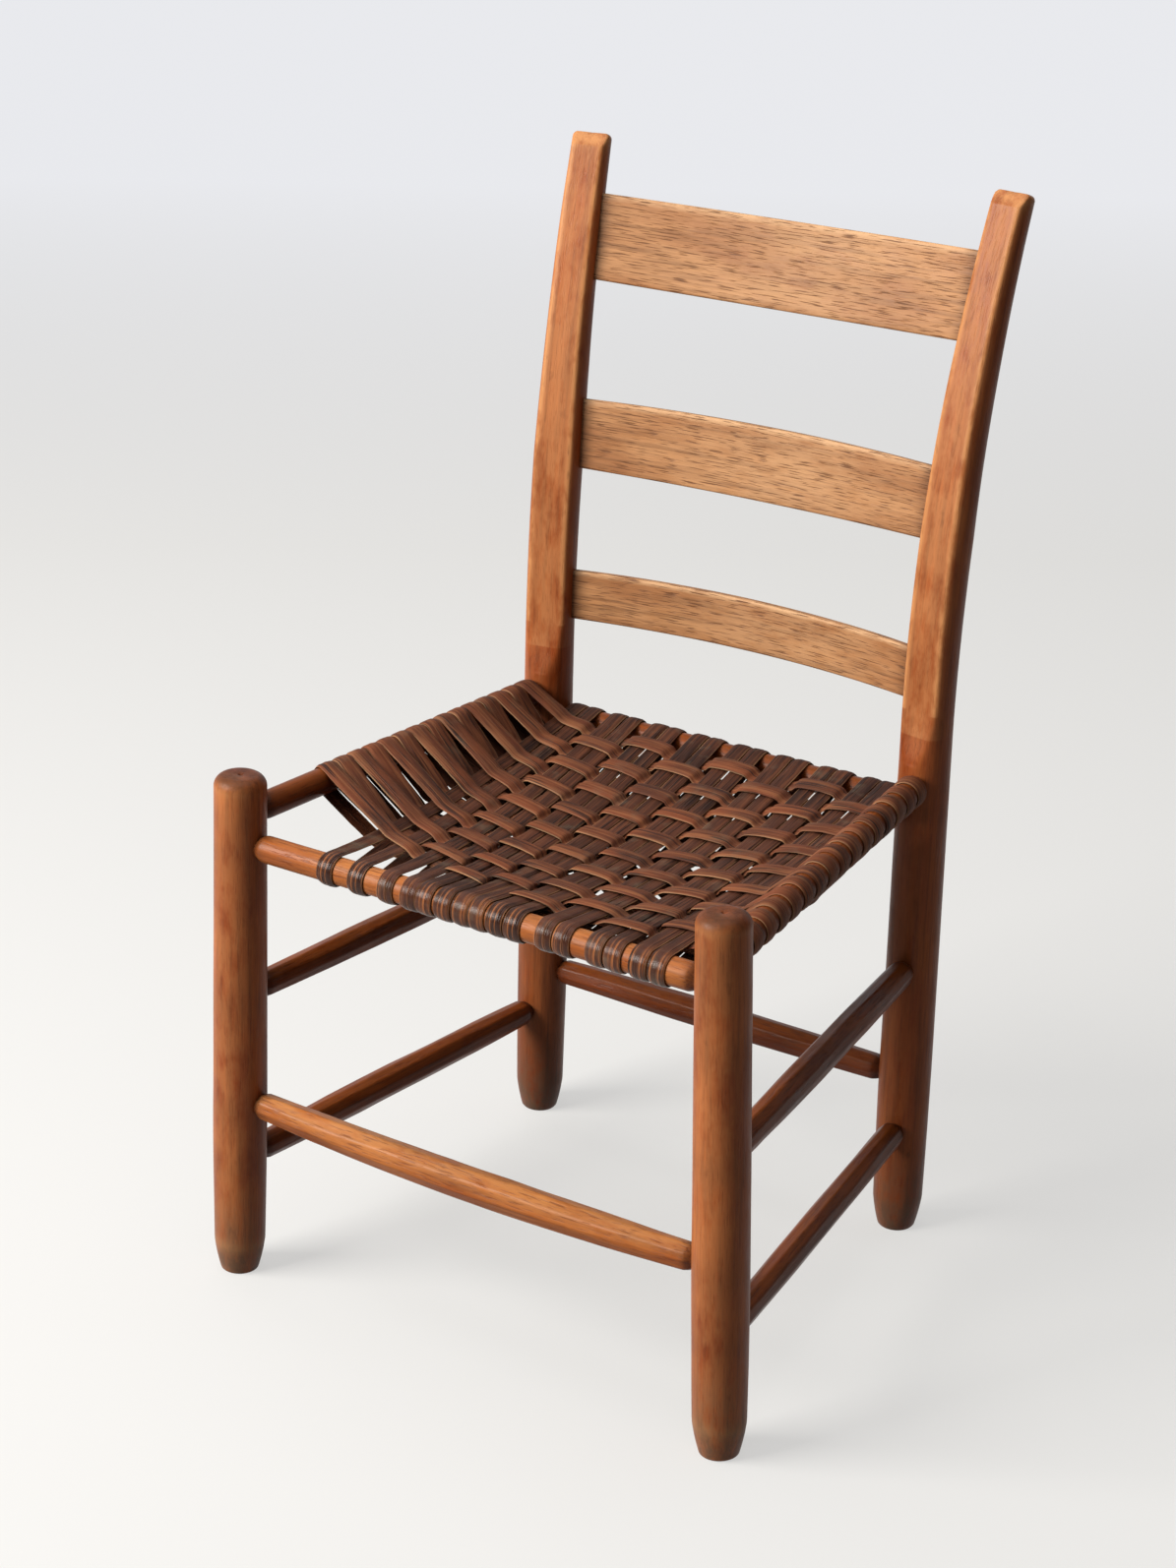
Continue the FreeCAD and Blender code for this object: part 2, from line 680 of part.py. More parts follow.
def front_post(name, side):
    foot, top = front_axis(side, 0), front_axis(side, FRONT_HEIGHT)
    body = new_body(name, frame(foot, top - foot, Vector(0, 1, 0)))
    revolve(body, name + "_turning", leg_outline([
        ("sizes.neck_radius", "sizes.neck_height"),
        ("sizes.neck_radius", "sizes.front_post_length"),
        ("sizes.pip_radius", "sizes.front_post_length"),
        ("0", "sizes.front_post_length - sizes.pip_depth")]))

    def on_rim(edge):
        box = edge.BoundBox
        return box.ZMin > size["front_post_length"] - 0.01 and box.XLength > NECK_RADIUS

    round_edges(body, name + "_dome", on_rim, "sizes.dome_radius")
    level_foot(body)
    return body


def rear_post(name, side):
    body = new_body(name, rear_frame(side))
    revolve(body, name + "_turning", leg_outline([
        ("sizes.rear_leg_radius", "sizes.leg_length"),
        ("0", "sizes.leg_length")]))
    bend_upper_part(body, name)
    shave_front(body, name)
    level_foot(body)
    return body


def station_sketch(body, name, angle, radius_rule):
    """Round section of the bent part, square to it, with its seam at the front."""
    sketch = circle_sketch(body, name, radius_rule)
    y, z = bend_point(angle)
    turn = Rotation(Vector(1, 0, 0), -angle) * Rotation(UP, -90)
    sketch.AttachmentOffset = Placement(Vector(0, y, z), turn)
    return sketch


def bend_upper_part(body, name):
    """The upper post follows one long arc, even up to the waist and thinning above it."""
    spine = new_sketch(body, name + "_bend_line", "YZ_Plane")
    centre = Vector(BEND_RADIUS, LEG_LENGTH, 0)
    arc = Part.ArcOfCircle(Part.Circle(centre, UP, BEND_RADIUS),
                           math.pi - math.radians(WAIST_ANGLE), math.pi)
    index = spine.addGeometry(arc)
    pin_coordinate(spine, index, 3, "DistanceX", "sizes.bend_radius")
    pin_coordinate(spine, index, 3, "DistanceY", "sizes.leg_length")
    pin_coordinate(spine, index, 2, "DistanceX", "0")
    pin_coordinate(spine, index, 2, "DistanceY", "sizes.leg_length")
    pin_coordinate(spine, index, 1, "DistanceY", "sizes.waist_rise")
    before = body.Shape.Volume
    pipe = body.newObject("PartDesign::AdditivePipe", name + "_bend")
    pipe.Profile = station_sketch(body, name + "_root", 0.0, "sizes.rear_leg_radius")
    pipe.Spine = (spine, ["Edge1"])
    stations = [station_sketch(body, "%s_station_%d" % (name, number),
                               station_angle(number), "sizes.station_%d_radius" % number)
                for number in range(STATIONS + 1)]
    taper = body.newObject("PartDesign::AdditiveLoft", name + "_taper")
    taper.Profile = stations[0]
    taper.Sections = stations[1:]
    doc.recompute()
    straight = math.pi * REAR_LEG_RADIUS ** 2 * BEND_RADIUS * TIP_LEAN
    thinned = math.pi * REAR_TIP_RADIUS ** 2 * BEND_RADIUS * TIP_LEAN
    if not thinned < body.Shape.Volume - before < straight:
        raise RuntimeError(name + " has a bad bend")


def shave_front(body, name):
    """The flat front face: a short run-out above the seat, then one long shallow arc."""
    pocket_through(body, name + "_shaving", "YZ_Plane", [
        ("sizes.tongue_y", "sizes.tongue_z", "sizes.runout_radius"),
        ("sizes.shaved_low_y", "sizes.shaved_low_z", "-sizes.shaved_radius"),
        ("sizes.shaved_top_y", "sizes.shaved_top_z"),
        ("sizes.over_y", "sizes.over_z"),
        ("sizes.clear_y", "sizes.over_z"),
        ("sizes.clear_y", "sizes.tongue_z")])
    pocket_through(body, name + "_bevel", "YZ_Plane", [
        ("sizes.heel_y", "sizes.heel_z"),
        ("sizes.bevel_y", "sizes.bevel_z"),
        ("sizes.over_y", "sizes.over_z"),
        ("sizes.clear_y", "sizes.over_z"),
        ("sizes.clear_y", "sizes.heel_z")])
    normal = Vector(0, math.sin(TIP_LEAN), math.cos(TIP_LEAN))
    level = Vector(0, size["bevel_y"], size["bevel_z"]).dot(normal)

    def on_tip(edge):
        return all(abs(vertex.Point.dot(normal) - level) < 0.05 for vertex in edge.Vertexes)

    round_edges(body, name + "_tip_rounding", on_tip, "sizes.tip_rounding")


for name in RUNGS:
    if "sag" in RUNGS[name]:
        build_sagging_rung(name)
    else:
        build_rung(name)
for name in SLATS:
    build_slat(name)
for hand, side in SIDES.items():
    post = front_post("front_%s_post" % hand, side)
    end = "first" if hand == "left" else "second"
    for rung in ("front_seat_rung", "front_lower_rung"):
        bore_for(post, rung, end)
    for level in ("seat", "upper", "lower"):
        bore_for(post, "%s_%s_rung" % (hand, level), "first")
    post = rear_post("rear_%s_post" % hand, side)
    for rung in ("rear_seat_rung", "rear_lower_rung"):
        bore_for(post, rung, end)
    for level in ("seat", "upper", "lower"):
        bore_for(post, "%s_%s_rung" % (hand, level), "second")
    for slat in SLATS:
        mortise_for(post, slat, side)


# The woven seat

WRAP_ANGLE = math.pi / WRAP_STEPS
WRAP_INNER = (SEAT_RUNG_RADIUS + BARK_PLAY) / math.cos(WRAP_ANGLE * 0.6)
WRAP_RADIUS = WRAP_INNER + BARK_THICKNESS / 2
CROSSING = BARK_THICKNESS + CROSSING_PLAY
FRONT_RUNG = (front_axis(1, FRONT_SEAT_HEIGHT).y, FRONT_SEAT_HEIGHT)
REAR_RUNG = (rear_axis(1, REAR_SEAT_HEIGHT).y, REAR_SEAT_HEIGHT)
SPAN = REAR_RUNG[0] - FRONT_RUNG[0]
PAIR_WIDTH = 2 * WARP_WIDTH + WARP_SPLIT


def rail_middle(side, y):
    """Middle of a side seat rung at a place from front to back."""
    front = front_axis(side, SIDE_SEAT_HEIGHT)
    rear = rear_axis(side, SIDE_SEAT_HEIGHT)
    share = (y - front.y) / (rear.y - front.y)
    return front + (rear - front) * share


HALF_SEAT = rail_middle(1, (FRONT_RUNG[0] + REAR_RUNG[0]) / 2).x


def layer_lean(x, layer):
    """Slope in radians at which the warps leave their rungs; layer 1 is the top, -1 below."""
    sag = SEAT_DISH if layer > 0 else UNDERSIDE_SAG
    return math.atan(4 * sag * (1 - (x / HALF_SEAT) ** 2) / SPAN)


def layer_ends(x, layer):
    """Front and rear places, from front to back, where the warps leave their rungs."""
    shift = layer * WRAP_RADIUS * math.sin(layer_lean(x, layer))
    return FRONT_RUNG[0] + shift, REAR_RUNG[0] - shift


def layer_height(x, y, layer):
    """Height of the middle of the warps: a dished sheet hung between the two rungs."""
    lean = layer_lean(x, layer)
    start, end = layer_ends(x, layer)
    share = (y - start) / (end - start)
    base = lerp(FRONT_RUNG[1], REAR_RUNG[1], share) + layer * WRAP_RADIUS * math.cos(lean)
    depth = (end - start) * math.tan(lean) / 4
    return base - 4 * depth * share * (1 - share)


def slope_along(x, y, layer, step_x, step_y):
    """Rise of the warp sheet per millimetre of a small step."""
    ahead = layer_height(x + step_x, y + step_y, layer)
    behind = layer_height(x - step_x, y - step_y, layer)
    return (ahead - behind) / (2 * math.hypot(step_x, step_y))


def front_place(pair):
    """Middle of a pair of warps on the front rung."""
    return size["front_warp_place_%d" % pair]


def rear_place(pair):
    """Middle of a pair of warps on the rear rung."""
    return (pair - (WARP_PAIRS + 1) / 2) * WARP_PITCH


def warp_x(pair, strand, share):
    """Middle of a strand from front (share 0) to back (share 1); strand is -1 or 1."""
    middle = lerp(front_place(pair), rear_place(pair), share)
    return middle + strand * (WARP_WIDTH + WARP_SPLIT) / 2


def underside_x(pair, strand, share):
    """Underneath, a strand runs from its own pair at the back to the next pair in front."""
    middle = lerp(front_place(pair + 1), rear_place(pair), share)
    return middle + strand * (WARP_WIDTH + WARP_SPLIT) / 2


def section(middle, across, outward, width):
    """One flat rectangle of bark, square to the way it runs."""
    half = Vector(across) * (width / 2)
    thick = Vector(outward) * (BARK_THICKNESS / 2)
    corners = [middle - half - thick, middle + half - thick,
               middle + half + thick, middle - half + thick]
    return corners


def pass_section(x, y, layer, way, offset, width, across_x):
    """Section of a strip that lies on the warp sheet, or offset outside it."""
    if across_x:
        across = Vector(1, 0, slope_along(x, y, layer, 0.5, 0)).normalize()
    else:
        across = Vector(0, 1, slope_along(x, y, layer, 0, 0.5)).normalize()
    run = Vector(way[0], way[1], slope_along(x, y, layer, way[0], way[1])).normalize()
    outward = across.cross(run) if across_x else run.cross(across)
    if outward.z * layer < 0:
        outward = outward * -1
    middle = Vector(x, y, layer_height(x, y, layer) + layer * offset)
    return section(middle, across, outward.normalize(), width)


def rung_wrap(x, rung, direction, rising):
    """Half turn of a warp round the front (direction -1) or rear (direction 1) rung."""
    over = -layer_lean(x, 1)
    under = math.pi - layer_lean(x, -1)
    start, end = (under, over) if rising else (over, under)
    made = []
    for step in range(WRAP_STEPS + 1):
        angle = lerp(start, end, step / WRAP_STEPS)
        outward = Vector(0, direction * math.sin(angle), math.cos(angle))
        middle = Vector(x, rung[0], rung[1]) + outward * WRAP_RADIUS
        made.append(section(middle, Vector(1, 0, 0), outward, WARP_WIDTH))
    return made


def warp_pass(x_at, layer, shares):
    """Sections of a warp between its rungs, at shares of the way from front to back."""
    made = []
    for share in shares:
        x = x_at(share)
        start, end = layer_ends(x, layer)
        y = lerp(start, end, share)
        drift = x_at(share + 0.001) - x_at(share - 0.001)
        way = Vector(drift, 0.002 * (end - start), 0).normalize()
        made.append(pass_section(x, y, layer, (way.x, way.y), 0.0, WARP_WIDTH, True))
    return made


def warp_strip(first_pair, last_pair, strand):
    """One unbroken strip round the front and rear rungs, from splice to splice."""
    steps = [number / WARP_STEPS for number in range(1, WARP_STEPS)]
    half_gap = SPLICE_GAP / 2 / SPAN
    entry = [share for share in reversed(steps) if share < 0.5]
    leave = [share for share in reversed(steps) if share > 0.5]
    made = warp_pass(lambda share: underside_x(first_pair - 1, strand, share), -1,
                     [0.5 - half_gap] + entry)
    for pair in range(first_pair, last_pair + 1):
        made += rung_wrap(warp_x(pair, strand, 0), FRONT_RUNG, -1, True)
        made += warp_pass(lambda share: warp_x(pair, strand, share), 1, steps)
        made += rung_wrap(warp_x(pair, strand, 1), REAR_RUNG, 1, False)
        if pair < last_pair:
            made += warp_pass(lambda share: underside_x(pair, strand, share), -1,
                              list(reversed(steps)))
    made += warp_pass(lambda share: underside_x(last_pair, strand, share), -1,
                      leave + [0.5 + half_gap])
    return made


# Wefts


def weft_left(row):
    return REAR_RUNG[0] - WEFT_SIDE_SETBACK - WEFT_LEFT_PITCH * (row - 1)


def weft_right(row):
    return REAR_RUNG[0] - WEFT_SIDE_SETBACK - WEFT_RIGHT_PITCH * (row - 1)


def top_row_y(row, x):
    """A top row bows through its places at the left rail, the middle and the right rail."""
    left, right = weft_left(row), weft_right(row)
    middle = REAR_RUNG[0] - WEFT_MIDDLE_SETBACK - WEFT_MIDDLE_PITCH * (row - 1)
    share = x / HALF_SEAT
    return middle + (right - left) / 2 * share + ((right + left) / 2 - middle) * share ** 2


def under_row_y(row, x):
    """Underneath, the strip runs straight from one row's right end to the next one's left."""
    right = weft_right(max(row, 1))
    left = weft_left(min(row + 1, WEFT_ROWS))
    return lerp(left, right, (x / HALF_SEAT + 1) / 2)


def settle(row_y, row, lane):
    """Place where a row crosses a lane of warps, found by going back and forth."""
    x = lane(0.5)
    for _ in range(6):
        y = row_y(row, x)
        x = lane((y - FRONT_RUNG[0]) / SPAN)
    return x


def crossings(row, layer):
    """Edges and sides of each warp pair that a row meets, from left to right. A side of 1 goes
    outside the warps, and -1 between the two layers."""
    row_y = top_row_y if layer > 0 else under_row_y
    middle_y = FRONT_RUNG[0] + SPAN / 2
    found = []
    for pair in range(0, WARP_PAIRS + 1):
        if layer > 0:
            lane = lambda share: (warp_x(pair, -1, share) + warp_x(pair, 1, share)) / 2
            if pair == 0:
                continue
        else:
            lane = lambda share: (underside_x(pair, -1, share)
                                  + underside_x(pair, 1, share)) / 2
            reach = WEFT_WIDTH / 2 + SPLICE_GAP
            y = row_y(row, settle(row_y, row, lane))
            if pair == 0 and y > middle_y + reach:
                continue
            if pair == WARP_PAIRS and y < middle_y - reach:
                continue
        x = settle(row_y, row, lane)
        side = 1 if (pair + row) % 2 == 0 else -1
        found.append((x, side))
    return found


def weft_stations(row, layer, crossed):
    """Sections at both edges of each pair."""
    row_y = top_row_y if layer > 0 else under_row_y
    made = []
    for x_middle, side in crossed:
        lean = PAIR_WIDTH / 2 + EDGE_MARGIN
        for x in (x_middle - lean, x_middle + lean):
            made.append(weft_section(row_y, row, x, layer, side))
    return made


def weft_section(row_y, row, x, layer, side):
    y = row_y(row, x)
    slope = (row_y(row, x + 0.5) - row_y(row, x - 0.5))
    way = Vector(1, slope, 0).normalize()
    return pass_section(x, y, layer, (way.x, way.y), side * CROSSING, WEFT_WIDTH, False)


def centre_of(corners):
    return (corners[0] + corners[1] + corners[2] + corners[3]) * 0.25


def rail_wrap(side, y, top_target, under_target, rising):
    """Turn of a weft round a side rung, between its two tangents."""
    middle = rail_middle(side, y)
    ahead = (rail_middle(side, y + 1) - middle).normalize()
    outward = Vector(side * ahead.y, -side * ahead.x, 0)
    over = -tangent_over(middle, outward, top_target)
    under = math.pi - tangent_under(middle, outward, under_target)
    start, end = (under, over) if rising else (over, under)
    made = []
    for step in range(WRAP_STEPS + 1):
        angle = lerp(start, end, step / WRAP_STEPS)
        radial = outward * math.sin(angle) + UP * math.cos(angle)
        made.append(section(middle + radial * WRAP_RADIUS, ahead, radial, WEFT_WIDTH))
    return made


def tangent_over(middle, outward, target):
    """How far inside the top of a rail a strip leaves it for a point on the top."""
    inward, rise = -(target - middle).dot(outward), target.z - middle.z
    return math.asin(WRAP_RADIUS / math.hypot(inward, rise)) - math.atan2(rise, inward)


def tangent_under(middle, outward, target):
    """How far outside the bottom of a rail a strip leaves it for a point underneath."""
    inward, drop = -(target - middle).dot(outward), middle.z - target.z
    return math.acos(WRAP_RADIUS / math.hypot(inward, drop)) - math.atan2(inward, drop)


def splice_x(row):
    """The strips are spliced under the fourth pair of warps."""
    lane = lambda share: (underside_x(4, -1, share) + underside_x(4, 1, share)) / 2
    return settle(under_row_y, row, lane)


def splice_section(row, shift):
    side = 1 if (4 + row) % 2 == 0 else -1
    return weft_section(under_row_y, row, splice_x(row) + shift, -1, side)


def weft_strip(first_row, last_row):
    """One unbroken strip round the side rungs, from splice to splice."""
    before = crossings(first_row - 1, -1)
    left_part = [item for item in before if item[0] < splice_x(first_row - 1) - 1]
    start = weft_stations(first_row - 1, -1, left_part)
    edge = weft_section(under_row_y, first_row - 1,
                        splice_x(first_row - 1) - PAIR_WIDTH / 2 - EDGE_MARGIN, -1,
                        1 if (4 + first_row - 1) % 2 == 0 else -1)
    made = [splice_section(first_row - 1, -SPLICE_GAP / 2), edge] + list(reversed(start))
    for row in range(first_row, last_row + 1):
        top = weft_stations(row, 1, crossings(row, 1))
        under = weft_stations(row, -1, crossings(row, -1))
        made += rail_wrap(-1, weft_left(row), centre_of(top[0]), centre_of(made[-1]), True)
        made += top
        made += rail_wrap(1, weft_right(row), centre_of(top[-1]), centre_of(under[-1]), False)
        if row < last_row:
            made += list(reversed(under))
    after = crossings(last_row, -1)
    right_part = [item for item in after if item[0] > splice_x(last_row) + 1]
    end = weft_stations(last_row, -1, right_part)
    edge = weft_section(under_row_y, last_row,
                        splice_x(last_row) + PAIR_WIDTH / 2 + EDGE_MARGIN, -1,
                        1 if (4 + last_row) % 2 == 0 else -1)
    made += list(reversed(end)) + [edge, splice_section(last_row, SPLICE_GAP / 2)]
    return made


def least_gap(sections, sections_apart):
    """Least distance between parts of a strip that lie a good way apart along it."""
    points = []
    for number, corners in enumerate(sections):
        for corner in corners:
            points.append((number, corner.x, corner.y, corner.z))
        if number + 1 < len(sections):
            for corner, following in zip(corners, sections[number + 1]):
                middle = (corner + following) * 0.5
                points.append((number, middle.x, middle.y, middle.z))
    least = 1e9
    for number, first in enumerate(points):
        for second in points[number + 1:]:
            if second[0] - first[0] < sections_apart:
                continue
            gap = ((first[1] - second[1]) ** 2 + (first[2] - second[2]) ** 2
                   + (first[3] - second[3]) ** 2)
            least = min(least, gap)
    return math.sqrt(least)


def lay_strip(name, sections, sections_apart):
    """Join the sections with flat sides into one solid."""
    wires = [Part.makePolygon(corners + [corners[0]]) for corners in sections]
    solid = Part.makeLoft(wires, True, True)
    feature = doc.addObject("Part::Feature", name)
    feature.Label = name
    feature.Shape = solid
    feature.Placement = Placement()
    gap = least_gap(sections, sections_apart)
    print("%s: %d sections, least gap to itself %.2f mm" % (name, len(sections), gap))


for strand, letter in ((-1, "a"), (1, "b")):
    for name, first, last in (("left", 1, 4), ("right", 5, 8)):
        lay_strip("warp_strip_%s_%s" % (name, letter), warp_strip(first, last, strand),
                  WRAP_STEPS)
for number, (first, last) in enumerate(((1, 4), (5, 8), (9, 12), (13, WEFT_ROWS))):
    lay_strip("weft_strip_%d" % (number + 1), weft_strip(first, last), WRAP_STEPS)


# Checks and files

doc.recompute()
for item in doc.Objects:
    if "Invalid" in item.State or "Error" in item.State:
        raise RuntimeError("%s did not compute" % item.Label)
pieces = [item for item in doc.Objects
          if item.TypeId in ("PartDesign::Body", "Part::Feature")]
for piece in pieces:
    shape = piece.Shape
    if shape.isNull() or not shape.isValid() or len(shape.Solids) != 1:
        raise RuntimeError("%s is not one valid solid" % piece.Label)
for piece in pieces:
    piece.Shape.exportStep("parts/%s.step" % piece.Label)
    print("%s: %.1f cm3" % (piece.Label, piece.Shape.Volume / 1000))
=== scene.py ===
# %% [markdown]
# # A country ladderback chair
#
# Four posts, three bowed slats, ten rungs and a seat woven from strips of bark. The chair was
# made by hand: the posts were turned, the rungs were shaved with a knife and the back posts were
# bent and then shaved flat. So nothing on it is perfectly round or straight, and most of the
# look comes from grain, old varnish, worn edges and the ridged bark.
#
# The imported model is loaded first. It fixes every size and place. The pieces made here lie in
# the same places and only add what a plain solid can't show.

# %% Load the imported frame
import bpy
import math
from mathutils import Matrix, Vector, noise


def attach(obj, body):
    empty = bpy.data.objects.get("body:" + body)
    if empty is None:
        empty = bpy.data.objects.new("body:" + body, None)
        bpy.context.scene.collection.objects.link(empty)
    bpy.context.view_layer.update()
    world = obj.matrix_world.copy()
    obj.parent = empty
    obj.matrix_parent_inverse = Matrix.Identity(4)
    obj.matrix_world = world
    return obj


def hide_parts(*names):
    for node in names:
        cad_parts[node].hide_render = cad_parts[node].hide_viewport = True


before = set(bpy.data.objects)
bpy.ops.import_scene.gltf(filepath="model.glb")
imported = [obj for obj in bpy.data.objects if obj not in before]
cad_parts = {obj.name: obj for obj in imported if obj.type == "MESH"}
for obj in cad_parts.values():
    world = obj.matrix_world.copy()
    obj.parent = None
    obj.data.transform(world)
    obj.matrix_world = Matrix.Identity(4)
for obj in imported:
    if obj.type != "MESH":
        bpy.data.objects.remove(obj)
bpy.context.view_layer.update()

MM = 0.001


def in_scene(name, data):
    """A new object with this data, linked to the scene."""
    made = bpy.data.objects.new(name, data)
    bpy.context.scene.collection.objects.link(made)
    return made


# %% [markdown]
# ## Camera
#
# The camera stands in front of the chair and to the right, at about chest height, and looks down
# on the seat. Its place and its long lens were worked out from the edges of the posts and rungs
# in the photograph, so the chair lands where it does there.

# %% Camera
PICTURE_WIDTH = 1195
FOCAL_PIXELS = 3119
SENSOR = 36.0
CAMERA_PLACE = Vector((1.1724, -1.8731, 1.3292))
YAW, PITCH, ROLL = 0.5741, 0.3965, 0.0174


def look(yaw, pitch, roll):
    """Right, up and forward of a camera that is turned left, tipped down and rolled."""
    ahead = Vector((-math.sin(yaw) * math.cos(pitch), math.cos(yaw) * math.cos(pitch),
                    -math.sin(pitch)))
    right = Vector((math.cos(yaw), math.sin(yaw), 0))
    up = right.cross(ahead)
    tilted_right = right * math.cos(roll) + up * math.sin(roll)
    tilted_up = up * math.cos(roll) - right * math.sin(roll)
    return tilted_right, tilted_up, ahead


lens = bpy.data.cameras.new("camera")
lens.sensor_fit = "HORIZONTAL"
lens.sensor_width = SENSOR
lens.lens = FOCAL_PIXELS / PICTURE_WIDTH * SENSOR
camera = in_scene("camera", lens)
right, up, ahead = look(YAW, PITCH, ROLL)
turn = Matrix((right, up, -ahead)).transposed().to_4x4()
camera.matrix_world = Matrix.Translation(CAMERA_PLACE) @ turn
bpy.context.scene.camera = camera
print("camera: a %.0f mm lens on a %.0f mm sensor" % (lens.lens, SENSOR))

# %% [markdown]
# ## Small helpers for node trees
#
# Colours are written as hex values, as a paint chart gives them, and Blender wants linear light,
# so one function turns one into the other. Another adds a node with its settings and links, and
# it serves both the materials and the Geometry Nodes.

# %% Colour and node helpers


def linear(code):
    """Linear red, green, blue and alpha of an sRGB hex colour."""
    parts = [int(code[start:start + 2], 16) / 255 for start in (1, 3, 5)]
    return tuple(v / 12.92 if v <= 0.04045 else ((v + 0.055) / 1.055) ** 2.4
                 for v in parts) + (1.0,)


def add(tree, kind, inputs=None, **settings):
    """A new node; an input is given a value or the socket that feeds it."""
    made = tree.nodes.new(kind)
    for key, value in settings.items():
        setattr(made, key, value)
    for key, value in (inputs or {}).items():
        if isinstance(value, bpy.types.NodeSocket):
            tree.links.new(value, made.inputs[key])
        else:
            made.inputs[key].default_value = value
    return made


def new_material(name):
    """An empty material with its output, and the tree to fill."""
    material = bpy.data.materials.new(name)
    material.use_nodes = True
    material.node_tree.nodes.clear()
    return material, material.node_tree


# %% [markdown]
# ## Studio
#
# A white painted floor turns up into a pale, slightly cool wall. The floor and the wall are one
# curved sheet, as in a photographer's cove, so no line shows behind the chair. It is long enough
# for a camera to walk right round the chair. A wide soft light stands to the left of the camera
# and throws soft shadows to the right and a little back, a wider one hangs above, and the world
# fills in the shaded sides. The room that the photograph was taken in gave little light back, so
# the sheet is pale where it is seen and darker where it only throws light on the chair. Part of
# its paleness is its own, which keeps it even and lets the shadows stay faint.

# %% Floor and wall
# Metres ahead of the camera, measured along the floor. The paint turns a little cooler from
# FADE_FROM to FADE_TO.
FLOOR_START, FLOOR_MIDDLE, WALL_AWAY = -2.4, 1.6, 7.8
COVE_RADIUS, WALL_HEIGHT, HALF_WIDTH = 1.2, 5.0, 7.0
FADE_FROM, FADE_TO = 4.0, 6.4
CAMERA_FOOT = Vector((CAMERA_PLACE.x, CAMERA_PLACE.y, 0))
FLAT_AHEAD = Vector((ahead.x, ahead.y, 0)).normalized()


def cove_profile():
    """Distance ahead and height along the sheet, from behind the camera to high on the wall."""
    line = [(FLOOR_START, 0.0), (FLOOR_MIDDLE, 0.0)]
    for step in range(13):
        angle = math.radians(90 * step / 12)
        line.append((WALL_AWAY - COVE_RADIUS + COVE_RADIUS * math.sin(angle),
                     COVE_RADIUS * (1 - math.cos(angle))))
    line.append((WALL_AWAY, WALL_HEIGHT))
    return line


def make_cove():
    aside = Vector((FLAT_AHEAD.y, -FLAT_AHEAD.x, 0))
    places, faces = [], []
    for away, height in cove_profile():
        for side in (-1, 1):
            spot = CAMERA_FOOT + FLAT_AHEAD * away + aside * side * HALF_WIDTH
            places.append((spot.x, spot.y, height))
    for row in range(len(places) // 2 - 1):
        faces.append((2 * row, 2 * row + 1, 2 * row + 3, 2 * row + 2))
    mesh = bpy.data.meshes.new("cove")
    mesh.from_pydata(places, [], faces)
    mesh.shade_smooth()
    return in_scene("cove", mesh)


cove_paint, tree = new_material("matt_white_paint")
where = add(tree, "ShaderNodeTexCoord").outputs["Object"]
from_camera = add(tree, "ShaderNodeVectorMath", {0: where, 1: CAMERA_FOOT},
                  operation="SUBTRACT").outputs[0]
away = add(tree, "ShaderNodeVectorMath", {0: from_camera, 1: FLAT_AHEAD},
           operation="DOT_PRODUCT").outputs["Value"]
far_off = add(tree, "ShaderNodeMapRange", {"Value": away, "From Min": FADE_FROM,
                                           "From Max": FADE_TO}).outputs["Result"]
paint = add(tree, "ShaderNodeMix", {0: far_off, 6: linear("#F1F0EE"), 7: linear("#F5F6FA")},
            data_type="RGBA").outputs[2]
rays = add(tree, "ShaderNodeLightPath").outputs
seen = add(tree, "ShaderNodeMath", {0: rays["Is Camera Ray"], 1: rays["Is Glossy Ray"]},
           operation="MAXIMUM").outputs[0]
seen = add(tree, "ShaderNodeMath", {0: seen, 1: rays["Is Transmission Ray"]},
           operation="MAXIMUM").outputs[0]
colour = add(tree, "ShaderNodeMix", {0: seen, 6: linear("#707070"), 7: paint},
             data_type="RGBA")
lit = add(tree, "ShaderNodeBsdfPrincipled", {"Base Color": colour.outputs[2],
                                             "Roughness": 0.75, "Specular IOR Level": 0.2})
even = add(tree, "ShaderNodeEmission", {"Color": paint, "Strength": 0.92})
own = add(tree, "ShaderNodeMapRange", {"Value": far_off, "To Min": 0.70, "To Max": 0.95})
share = add(tree, "ShaderNodeMath", {0: seen, 1: own.outputs["Result"]},
            operation="MULTIPLY").outputs[0]
shader = add(tree, "ShaderNodeMixShader", {"Fac": share, 1: lit.outputs["BSDF"],
                                           2: even.outputs["Emission"]})
add(tree, "ShaderNodeOutputMaterial", {"Surface": shader.outputs["Shader"]})
cove = make_cove()
cove.data.materials.append(cove_paint)
print("cove: %d faces, wall %.1f m from the camera" % (len(cove.data.polygons), WALL_AWAY))

# %% Lights


def soft_light(name, place, target, size, power, tint):
    lamp = bpy.data.lights.new(name, "AREA")
    lamp.shape = "RECTANGLE"
    lamp.size, lamp.size_y = size
    lamp.energy = power
    lamp.color = linear(tint)[:3]
    light = in_scene(name, lamp)
    light.location = place
    beam = Vector(target) - Vector(place)
    light.rotation_euler = beam.to_track_quat("-Z", "Y").to_euler()
    print("%s: %.0f W, %.1f m from the chair" % (name, power, beam.length))


